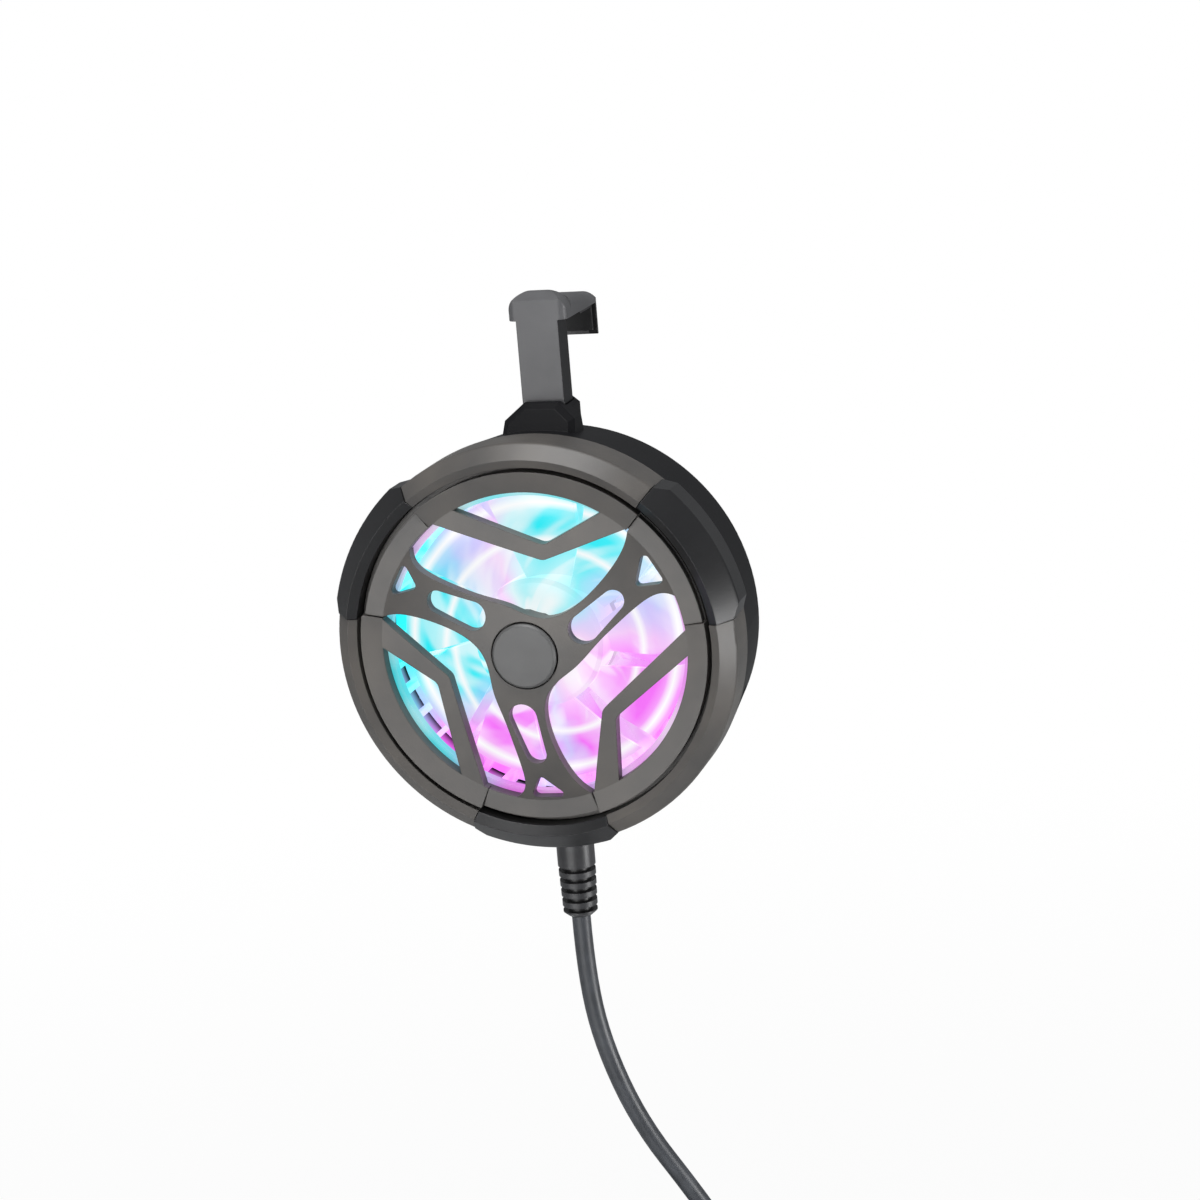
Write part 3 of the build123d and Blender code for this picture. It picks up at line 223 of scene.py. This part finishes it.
# Near and far from the fan's middle, half of the floor's width, and its drop below the part, in metres
FLOOR_DISTANCES = (0.15, 0.6)
FLOOR_REACH = 3.0
FLOOR_DROP = 0.004
# Share of the white surroundings that glossy surfaces mirror
MIRRORED_SHARE = 0.13
# Strength of the even light from all sides
WORLD_STRENGTH = 0.13

# Place that the lamps aim at, in millimetres
LAMP_AIM = (0.0, -12.0, 0.0)
# Name, azimuth and elevation in degrees, distance and size in metres, and power of each lamp
SOFT_BOXES = (
    ("front", -18.0, -15.0, 0.62, (0.46, 0.46), 4.1),
    ("top", -4.0, 72.0, 0.50, (0.30, 0.16), 2.3),
    ("right", 82.0, -15.0, 0.60, (0.22, 0.26), 3.2),
    ("back", 205.0, -26.0, 0.75, (0.60, 0.60), 3.1),
)

# Sockets of Blender's colour mix: factor, two colours and, among its outputs, the result
MIX_INPUTS = (0, 6, 7)
MIX_RESULT = 2
# Samples for the rounding of edges
BEVEL_SAMPLES = 4


def point(p):
    return Vector(p) * MM


def direction(azimuth, elevation):
    """Unit vector towards a place round the fan, from angles in degrees."""
    turn, rise = math.radians(azimuth), math.radians(elevation)
    return Vector((math.sin(turn) * math.cos(rise), -math.cos(turn) * math.cos(rise), math.sin(rise)))


def add_object(name, data):
    thing = bpy.data.objects.new(name, data)
    bpy.context.collection.objects.link(thing)
    return thing


def shade(colour, share):
    return tuple(min(1.0, c * share) for c in colour)


class NodeTree:
    """A node tree and short ways to add nodes to it."""

    def __init__(self, tree):
        self.tree = tree

    def add(self, kind, **settings):
        node = self.tree.nodes.new(kind)
        for key, value in settings.items():
            setattr(node, key, value)
        return node

    def feed(self, socket, value):
        """Links a socket to another node's output, or sets its value."""
        if isinstance(value, bpy.types.NodeSocket):
            self.tree.links.new(value, socket)
        elif isinstance(value, tuple) and len(value) == 3 and len(socket.default_value) == 4:
            socket.default_value = (*value, 1.0)
        else:
            socket.default_value = value

    def math(self, operation, *values, clamp=False):
        node = self.add("ShaderNodeMath", operation=operation, use_clamp=clamp)
        for socket, value in zip(node.inputs, values):
            self.feed(socket, value)
        return node.outputs[0]

    def mix_shaders(self, factor, first, second):
        node = self.add("ShaderNodeMixShader")
        for socket, value in zip(node.inputs, (factor, first, second)):
            self.feed(socket, value)
        return node.outputs[0]

    def seen(self):
        """One where the camera or a clear material looks at a surface, and less where gloss mirrors it."""
        path = self.add("ShaderNodeLightPath")
        share = self.math("MULTIPLY", path.outputs["Is Glossy Ray"], MIRRORED_SHARE)
        for ray in ("Is Camera Ray", "Is Transmission Ray"):
            share = self.math("MAXIMUM", share, path.outputs[ray])
        return share


class Material(NodeTree):
    """A node material with its shader, and the place on the object that its patterns follow."""

    def __init__(self, name):
        self.data = bpy.data.materials.new(name)
        self.data.use_nodes = True
        super().__init__(self.data.node_tree)
        self.shader = self.tree.nodes["Principled BSDF"]
        self.place = self.add("ShaderNodeTexCoord").outputs["Object"]

    def set(self, **values):
        """Sets or links inputs of the shader, with underscores for spaces in their names."""
        for key, value in values.items():
            self.feed(self.shader.inputs[key.replace("_", " ")], value)

    def axes(self):
        """Sockets of X, Y and Z."""
        parts = self.add("ShaderNodeSeparateXYZ")
        self.feed(parts.inputs[0], self.place)
        return [parts.outputs[axis] for axis in "XYZ"]

    def distance(self, first, second):
        """Distance from an axis, from the two sockets across it."""
        squares = [self.math("MULTIPLY", socket, socket) for socket in (first, second)]
        return self.math("SQRT", self.math("ADD", *squares))

    def texture(self, kind, size, place=None, unit=MM, **settings):
        """Texture with a pattern of a size, in millimetres if no other unit is given."""
        node = self.add(kind, **settings)
        self.feed(node.inputs["Vector"], self.place if place is None else place)
        node.inputs["Scale"].default_value = 1 / (size * unit)
        return node

    def noise(self, size, detail=2.0, roughness=0.5, place=None, unit=MM):
        node = self.texture("ShaderNodeTexNoise", size, place, unit)
        node.inputs["Detail"].default_value = detail
        node.inputs["Roughness"].default_value = roughness
        return node.outputs["Fac"]

    def varied(self, factor, middle, span):
        """Value that a noise moves by half a span to either side of a middle."""
        return self.math("MULTIPLY_ADD", factor, span, middle - span / 2)

    def ramp(self, factor, stops, interpolation="LINEAR"):
        """Colours or shares of white at the places where the factor has each stop's value."""
        node = self.add("ShaderNodeValToRGB")
        node.color_ramp.interpolation = interpolation
        elements = node.color_ramp.elements
        while len(elements) < len(stops):
            elements.new(1.0)
        for element, (position, colour) in zip(elements, stops):
            element.position = position
            element.color = (*colour, 1.0) if isinstance(colour, tuple) else (colour, colour, colour, 1.0)
        self.feed(node.inputs["Fac"], factor)
        return node.outputs["Color"]

    def shaded(self, factor, shades, low, high):
        """Mottled colour, from a share of the low one to a share of the high one."""
        (start, dark), (end, light) = shades
        return self.ramp(factor, ((start, shade(low, dark)), (end, shade(high, light))))

    def mix(self, factor, a, b):
        node = self.add("ShaderNodeMix", data_type="RGBA")
        for index, value in zip(MIX_INPUTS, (factor, a, b)):
            self.feed(node.inputs[index], value)
        return node.outputs[MIX_RESULT]

    def bump(self, height, depth, strength=1.0, rounding=0.0):
        """Normal from a height and a depth in millimetres, with edges rounded by a radius."""
        node = self.add("ShaderNodeBump")
        node.inputs["Distance"].default_value = depth * MM
        node.inputs["Strength"].default_value = strength
        self.feed(node.inputs["Height"], height)
        if rounding:
            self.feed(node.inputs["Normal"], self.rounded(rounding))
        return node.outputs["Normal"]

    def rounded(self, radius):
        node = self.add("ShaderNodeBevel", samples=BEVEL_SAMPLES)
        node.inputs["Radius"].default_value = radius * MM
        return node.outputs["Normal"]


def polar_place(mat):
    """Radius from the fan's axis in millimetres, and the sockets of X and Z."""
    x, _, z = mat.axes()
    return mat.math("MULTIPLY", mat.distance(x, z), 1 / MM), x, z


def swirl_place(mat, radius, x, z, twist):
    """Angle from +X towards +Z as a share of a turn, turned on as the radius grows."""
    angle = mat.math("MULTIPLY", mat.math("ARCTAN2", z, x), 1 / (2 * math.pi))
    shift = mat.math("MULTIPLY", radius, twist / 360)
    return mat.math("FRACT", mat.math("ADD", mat.math("ADD", angle, shift), 1.0))


def by_angle(mat, turn, table, interpolation="LINEAR"):
    """Ramp round the axis from a table of angles in degrees."""
    return mat.ramp(turn, [(angle / 360, value) for angle, value in table], interpolation)


def fading(mat, radius, fade):
    """Light that shrinks outwards and stays between zero and one."""
    start, loss = fade
    return mat.math("SUBTRACT", start, mat.math("MULTIPLY", radius, loss), clamp=True)


def ring_glow(mat, radius, at, width):
    """One at a radius, fading to zero over a width on both sides."""
    apart = mat.math("ABSOLUTE", mat.math("SUBTRACT", radius, at))
    return mat.math("SUBTRACT", 1.0, mat.math("DIVIDE", apart, width), clamp=True)


def white_streaks(mat, radius, x, z):
    """Share of white in streaks that swirl out from the hub."""
    around = mat.math("MULTIPLY", swirl_place(mat, radius, x, z, STREAK_TWIST), 2 * math.pi)
    place = mat.add("ShaderNodeCombineXYZ")
    mat.feed(place.inputs[0], mat.math("MULTIPLY", mat.math("COSINE", around), STREAK_CIRCLE))
    mat.feed(place.inputs[1], mat.math("MULTIPLY", mat.math("SINE", around), STREAK_CIRCLE))
    mat.feed(place.inputs[2], mat.math("MULTIPLY", radius, STREAK_STEP))
    streaks = mat.ramp(mat.noise(1.0, place=place.outputs[0], unit=1.0), STREAK_STOPS, "EASE")
    return mat.math("MULTIPLY", streaks, fading(mat, radius, STREAK_FADE))


def fan_light(mat, rings):
    """Swirls of cyan, lilac and magenta round the fan's axis, with streaks and rings of white."""
    radius, x, z = polar_place(mat)
    turn = swirl_place(mat, radius, x, z, COLOUR_TWIST)
    wander = mat.varied(mat.noise(WANDER_SIZE), 0.0, WANDER_SHARE)
    turn = mat.math("FRACT", mat.math("ADD", turn, wander))
    colour = by_angle(mat, turn, FAN_LIGHT)
    hub = mat.math("MULTIPLY", by_angle(mat, turn, HUB_LIGHT, "EASE"), fading(mat, radius, HUB_FADE))
    colour = mat.mix(mat.math("MAXIMUM", white_streaks(mat, radius, x, z), hub), colour, WHITE)
    for at, width, share in rings:
        glow = mat.math("MULTIPLY", ring_glow(mat, radius, at, width), share)
        colour = mat.mix(glow, colour, WHITE)
    return colour


def spill(mat, strength):
    """The fan's light on a surface behind the blades, from the heat sink's base forwards."""
    _, y, _ = mat.axes()
    forwards = mat.math("MULTIPLY_ADD", y, -1 / MM, -GLOW_DEPTH)
    radius, _, _ = polar_place(mat)
    share = mat.math("MULTIPLY", mat.math("MULTIPLY", forwards, GLOW_GAIN, clamp=True),
                     mat.math("LESS_THAN", radius, GLOW_RADIUS))
    outside = mat.math("MULTIPLY", mat.math("SUBTRACT", radius, BLADE_RADIUS), RIM_GAIN, clamp=True)
    share = mat.math("MULTIPLY", share, mat.math("MULTIPLY_ADD", outside, RIM_SHARE, 1.0))
    mat.set(Emission_Color=fan_light(mat, ()), Emission_Strength=mat.math("MULTIPLY", share, strength))


def stem_side_painted_shade(mat):
    """Painted shade: one on the sides of the arm's stem, below the jaw."""
    x, _, z = mat.axes()
    side = mat.math("GREATER_THAN", mat.math("ABSOLUTE", x), STEM_HALF_WIDTH * MM)
    return mat.math("MULTIPLY", side, mat.math("LESS_THAN", z, JAW_BOTTOM * MM))


def groove_floor_painted_shade(mat):
    """Painted shade: one on the floors of the strain relief's grooves."""
    x, y, z = mat.axes()
    radius = mat.distance(x, mat.math("SUBTRACT", y, RELIEF_DEPTH * MM))
    inside = mat.math("LESS_THAN", radius, GROOVE_RADIUS * MM)
    return mat.math("MULTIPLY", inside, mat.math("LESS_THAN", z, GROOVE_TOP * MM))


def moulded_plastic(name, colour, roughness, tint=None, shine=0.5, dark=None, lit=0.0):
    """Matt moulded plastic: a fine grain and a slow change of tone, with painted shade where a mask says
    so.
    """
    mat = Material(name)
    tone = mat.noise(PLASTIC_PATCH, detail=3.0)
    base = mat.shaded(tone, PLASTIC_SHADES, colour, tint or colour)
    # Painted shade: where the mask is one, the colour turns to the shell's black
    if dark:
        base = mat.mix(dark(mat), base, SHELL_BLACK)
    grain = mat.noise(PLASTIC_GRAIN, detail=1.5)
    mat.set(Base_Color=base, Specular_IOR_Level=shine,
            Roughness=mat.varied(grain, roughness, PLASTIC_ROUGHNESS_SPAN),
            Normal=mat.bump(grain, PLASTIC_GRAIN_DEPTH, PLASTIC_GRAIN_STRENGTH, PLASTIC_ROUNDING))
    if lit:
        spill(mat, lit)
    return mat.data


def rubber(name, colour, roughness, dark=None):
    """Soft rubber with a dusty, uneven sheen, with painted shade where a mask says so."""
    mat = Material(name)
    tone = mat.noise(RUBBER_PATCH, detail=3.0)
    base = mat.shaded(tone, RUBBER_SHADES, colour, colour)
    # Painted shade: where the mask is one, the colour turns to the shell's black
    if dark:
        base = mat.mix(dark(mat), base, SHELL_BLACK)
    grain = mat.noise(RUBBER_GRAIN)
    mat.set(Base_Color=base, Roughness=mat.varied(tone, roughness, RUBBER_ROUGHNESS_SPAN),
            Normal=mat.bump(grain, RUBBER_GRAIN_DEPTH, RUBBER_GRAIN_STRENGTH, RUBBER_ROUNDING),
            Sheen_Weight=0.08, Sheen_Roughness=0.5)
    return mat.data


def metal(name, colour, roughness, brushed=None, grain=METAL_GRAIN, lit=0.0):
    """Metal with fine scratches, drawn out along one axis if brushed."""
    mat = Material(name)
    place = mat.place
    if brushed:
        mapping = mat.add("ShaderNodeMapping")
        mat.feed(mapping.inputs["Vector"], mat.place)
        mapping.inputs["Scale"].default_value = brushed
        place = mapping.outputs["Vector"]
    scratches = mat.noise(grain, detail=3.0, roughness=0.6, place=place)
    mat.set(Base_Color=mat.shaded(scratches, METAL_SHADES, colour, colour), Metallic=1.0,
            Roughness=mat.varied(scratches, roughness, METAL_ROUGHNESS_SPAN),
            Normal=mat.bump(scratches, METAL_SCRATCH_DEPTH, METAL_SCRATCH_STRENGTH, METAL_ROUNDING))
    if lit:
        spill(mat, lit)
    return mat.data


def lit_fan(name):
    """Milky plastic of the blades, glowing in the fan's colours."""
    mat = Material(name)
    mat.set(Base_Color=BLADE_GREY, Roughness=0.35, Specular_IOR_Level=0.3,
            Emission_Color=fan_light(mat, FAN_RINGS), Emission_Strength=FAN_STRENGTH,
            Normal=mat.rounded(BLADE_ROUNDING))
    return mat.data


def light_material(name, strength):
    """Frosted plastic in the fan's colours, with a whiter spot at each chip."""
    mat = Material(name)
    radius, x, z = polar_place(mat)
    turn = swirl_place(mat, radius, x, z, 0.0)
    spots = mat.math("COSINE", mat.math("MULTIPLY", turn, CHIP_COUNT * 2 * math.pi))
    spots = mat.math("MULTIPLY_ADD", spots, SPOT_SWING, SPOT_MIDDLE, clamp=True)
    mat.set(Base_Color=GUIDE_GREY, Roughness=0.5, Emission_Strength=strength,
            Emission_Color=mat.mix(spots, by_angle(mat, turn, FAN_LIGHT), WHITE))
    return mat.data


def circuit_board(name):
    """Green solder mask with a web of raised tracks, in the fan's light."""
    mat = Material(name)
    cells = mat.texture("ShaderNodeTexVoronoi", TRACK_CELL, feature="DISTANCE_TO_EDGE")
    tracks = mat.ramp(cells.outputs["Distance"], TRACK_STOPS)
    mat.set(Base_Color=mat.mix(tracks, BOARD_GREEN, TRACK_GREEN), Roughness=0.38,
            Normal=mat.bump(tracks, TRACK_DEPTH, strength=0.6))
    spill(mat, BOARD_GLOW)
    return mat.data


def thermal_sheet(name):
    """Soft grey silicone sheet with slanting ribs."""
    mat = Material(name)
    ribs = mat.texture("ShaderNodeTexWave", SHEET_RIB, wave_type="BANDS", bands_direction="DIAGONAL")
    ribs.inputs["Distortion"].default_value = 1.0
    tone = mat.noise(SHEET_PATCH, detail=4.0)
    mat.set(Base_Color=mat.ramp(tone, tuple(zip(SHEET_STOPS, SHEET_SHADES))), Roughness=0.72,
            Normal=mat.bump(ribs.outputs["Fac"], SHEET_RIB_DEPTH, strength=0.3, rounding=SHEET_ROUNDING))
    return mat.data


def wound_copper(name):
    """Enamelled wire laid side by side."""
    mat = Material(name)
    wires = mat.texture("ShaderNodeTexWave", WIRE_WIDTH, wave_type="BANDS", bands_direction="Y")
    mat.set(Base_Color=mat.ramp(wires.outputs["Fac"], tuple(zip((0.0, 1.0), COPPER_SHADES))), Metallic=1.0,
            Roughness=0.3, Normal=mat.bump(wires.outputs["Fac"], WIRE_DEPTH))
    return mat.data


# Kind, name, colour, roughness and other settings of a material, and the nodes that wear it
LOOKS = (
    (moulded_plastic, "shell_plastic", SHELL_BLACK, 0.46, {"shine": 0.10, "lit": 0.55}, ("rear_shell",)),
    (moulded_plastic, "cover_plastic", COVER_BLACK, 0.50, {"shine": 0.4}, ("back_cover",)),
    (moulded_plastic, "guard_plastic", GUARD_BLACK, 0.34, {"shine": 0.45},
     ("bezel_guard_right", "bezel_guard_left", "bezel_guard_bottom")),
    (moulded_plastic, "front_plastic", FRONT_GREY, 0.40, {"shine": 0.35, "tint": FRONT_WARM_GREY},
     ("front_bezel", "grille_ring", "grille_spider")),
    # The arm's plastic, with painted shade on its stem's sides below the jaw
    (moulded_plastic, "arm_plastic", ARM_GREY, 0.42, {"shine": 0.3, "dark": stem_side_painted_shade}, ("clamp_arm",)),
    (moulded_plastic, "cap_plastic", CAP_GREY, 0.50, {}, ("hub_cap",)),
    (moulded_plastic, "ceramic", CERAMIC_WHITE, 0.45, {}, ("peltier_module",)),
    (moulded_plastic, "ferrite", FERRITE_BLACK, 0.55, {}, ("rotor_magnet",)),
    (moulded_plastic, "chip_plastic", CHIP_BLACK, 0.45, {}, ("board_chips",)),
    (moulded_plastic, "tongue_plastic", TONGUE_WHITE, 0.4, {}, ("plug_tongue",)),
    (moulded_plastic, "plug_plastic", PLUG_BLACK, 0.45, {}, ("plug_body", "cable_tie")),
    # The strain relief's rubber, with painted shade on the floors of its grooves
    (rubber, "relief_rubber", RELIEF_GREY, 0.36, {"dark": groove_floor_painted_shade}, ("strain_relief",)),
    (rubber, "pad_rubber", RUBBER_BLACK, 0.70, {}, ("upper_jaw_pad", "lower_jaw_pad", "insulation_gasket")),
    (metal, "steel", STEEL, 0.32, {},
     ("rotor_shaft", "arm_spring_left", "arm_spring_right", "rotor_yoke", "stator_core")),
    (metal, "dark_steel", DARK_STEEL, 0.38, {"lit": 0.5}, ("cover_screws", "sink_screws")),
    (metal, "brushed_aluminium", ALUMINIUM, 0.34, {"brushed": STROKES_ALONG_X}, ("cold_plate",)),
    (metal, "cast_aluminium", CAST_ALUMINIUM, 0.50, {"grain": CAST_GRAIN, "lit": 0.55}, ("heat_sink",)),
    (metal, "motor_base", MOTOR_METAL, 0.45, {"lit": 0.6}, ("motor_base",)),
    (metal, "bronze", BRONZE, 0.45, {}, ("bearing_bush",)),
    (metal, "nickel", NICKEL, 0.22, {"brushed": STROKES_ALONG_Z}, ("plug_shell",)),
)


def wear(material, names):
    for name in names:
        for slot in nodes[name].material_slots:
            slot.material = material


def dress_nodes():
    for kind, name, colour, roughness, settings, names in LOOKS:
        wear(kind(name, colour, roughness, **settings), names)
    wear(circuit_board("circuit_board"), ("motor_board", "control_board", "light_board"))
    wear(wound_copper("wound_copper"), ("stator_coils",))
    wear(thermal_sheet("thermal_sheet"), ("thermal_pad",))
    wear(lit_fan("lit_fan"), ("fan_rotor",))
    wear(light_material("light_guide", LIGHT_RING_STRENGTH), ("light_ring",))
    wear(light_material("light_chip", LIGHT_CHIP_STRENGTH), ("light_chips",))


def make_springs():
    """The arm's springs as pieces of their own, named as stretching: each is a copy baked in place, and the
    spring from model.glb is hidden.
    """
    for side in ("left", "right"):
        node = nodes["arm_spring_" + side]
        spring = add_object("stretching_spring_" + side, node.data.copy())
        spring.matrix_world = node.matrix_world
        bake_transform(spring)
        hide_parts("arm_spring_" + side)


def coil_points():
    """Points of the coil's turns: each layer spirals in or out, and the last half turn climbs."""
    lead = Vector(CORD_ROUTE[-1])
    step = COIL_PITCH / 2
    radius = COIL_INNER_RADIUS + step * COIL_HALF_TURNS[0]
    centre = lead - Vector((radius, 0, CORD_DIAMETER))
    depth = 0.0
    half_turns = []
    for index, halves in enumerate(COIL_HALF_TURNS):
        inward = -step if index % 2 == 0 else step
        half_turns += [(inward, 0.0)] * halves
        if index < len(COIL_HALF_TURNS) - 1:
            half_turns.append((0.0, -COIL_PITCH))
    points = []
    for turn, (grow, climb) in enumerate(half_turns):
        for index in range(COIL_POINTS_IN_HALF_TURN):
            share = index / COIL_POINTS_IN_HALF_TURN
            angle = (turn + share) * math.pi
            reach = radius + grow * share
            points.append(centre + Vector((reach * math.cos(angle), depth + climb * share,
                                           -reach * math.sin(angle))))
        radius += grow
        depth += climb
    return points


def make_cord():
    """The whole cord as one smooth line: the free stretch, the coil and the tail."""
    points = [Vector(p) for p in CORD_ROUTE[:-1]] + coil_points() + [Vector(p) for p in TAIL_ROUTE]
    data = bpy.data.curves.new("cord", "CURVE")
    data.dimensions = "3D"
    data.bevel_depth = CORD_DIAMETER / 2 * MM
    data.bevel_resolution = CORD_SECTION_STEPS
    data.resolution_u = CORD_STEPS
    spline = data.splines.new("NURBS")
    spline.points.add(len(points) - 1)
    for target, place in zip(spline.points, points):
        target.co = (*(place * MM), 1.0)
    spline.order_u = 3
    spline.use_endpoint_u = True
    data.materials.append(rubber("cord_rubber", CORD_GREY, 0.40))
    cord = add_object("cord", data)
    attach(cord, "housing")
    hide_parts("power_cord", "cord_coil", "cord_tail")


def make_camera():
    azimuth, roll = math.radians(CAMERA_AZIMUTH), math.radians(CAMERA_ROLL)
    back = direction(CAMERA_AZIMUTH, CAMERA_ELEVATION)
    right = Vector((math.cos(azimuth), math.sin(azimuth), 0))
    up = back.cross(right)
    turned_right = right * math.cos(roll) + up * math.sin(roll)
    turned_up = up * math.cos(roll) - right * math.sin(roll)
    data = bpy.data.cameras.new("camera")
    data.lens = CAMERA_LENS
    data.sensor_width = SENSOR_WIDTH
    data.clip_start = CAMERA_CLIP_START * MM
    camera = add_object("camera", data)
    matrix = Matrix((turned_right, turned_up, back)).transposed().to_4x4()
    matrix.translation = point(CAMERA_TARGET) + back * CAMERA_DISTANCE * MM
    camera.matrix_world = matrix
    bpy.context.scene.camera = camera


def make_lights():
    """Soft boxes: one that the front faces mirror to the camera, the others above, beside and behind."""
    aim = point(LAMP_AIM)
    for name, azimuth, elevation, distance, size, power in SOFT_BOXES:
        data = bpy.data.lights.new(name, "AREA")
        data.shape = "RECTANGLE"
        data.size, data.size_y = size
        data.energy = power
        way = direction(azimuth, elevation)
        light = add_object(name, data)
        light.location = aim + way * distance
        light.rotation_euler = (-way).to_track_quat("-Z", "Y").to_euler()


def make_world():
    """White behind the object, and a dim even light on it."""
    world = bpy.data.worlds.new("world")
    bpy.context.scene.world = world
    world.use_nodes = True
    world.node_tree.nodes.clear()
    tree = NodeTree(world.node_tree)
    backgrounds = []
    for colour, strength in ((WORLD_BLUE, WORLD_STRENGTH), (WHITE, 1.0)):
        background = tree.add("ShaderNodeBackground")
        tree.feed(background.inputs["Color"], colour)
        tree.feed(background.inputs["Strength"], strength)
        backgrounds.append(background.outputs[0])
    out = tree.add("ShaderNodeOutputWorld")
    tree.feed(out.inputs[0], tree.mix_shaders(tree.seen(), *backgrounds))


def make_floor():
    """Pale floor under the lowest piece: nearly white to the camera, and plain white further off."""
    height = cad_box[0][2] - FLOOR_DROP
    corners = [(x * FLOOR_REACH, y * FLOOR_REACH, height) for x, y in ((-1, -1), (1, -1), (1, 1), (-1, 1))]
    mesh = bpy.data.meshes.new("floor")
    mesh.from_pydata(corners, [], [(0, 1, 2, 3)])
    floor = add_object("floor", mesh)
    mat = Material("floor_paper")
    mat.set(Base_Color=FLOOR_GREY, Roughness=0.9, Specular_IOR_Level=0.1)
    paper = mat.add("ShaderNodeEmission")
    apart = mat.add("ShaderNodeVectorMath", operation="LENGTH")
    mat.feed(apart.inputs[0], mat.place)
    whiteness = mat.ramp(apart.outputs["Value"], tuple(zip(FLOOR_DISTANCES, FLOOR_WHITENESS)), "EASE")
    white = mat.math("MULTIPLY", mat.seen(), whiteness)
    mixed = mat.mix_shaders(white, mat.shader.outputs[0], paper.outputs[0])
    mat.feed(mat.tree.nodes["Material Output"].inputs["Surface"], mixed)
    mesh.materials.append(mat.data)


dress_nodes()
make_cord()
make_springs()
make_camera()
make_lights()
make_world()
make_floor()
bpy.context.scene.view_settings.view_transform = "Standard"
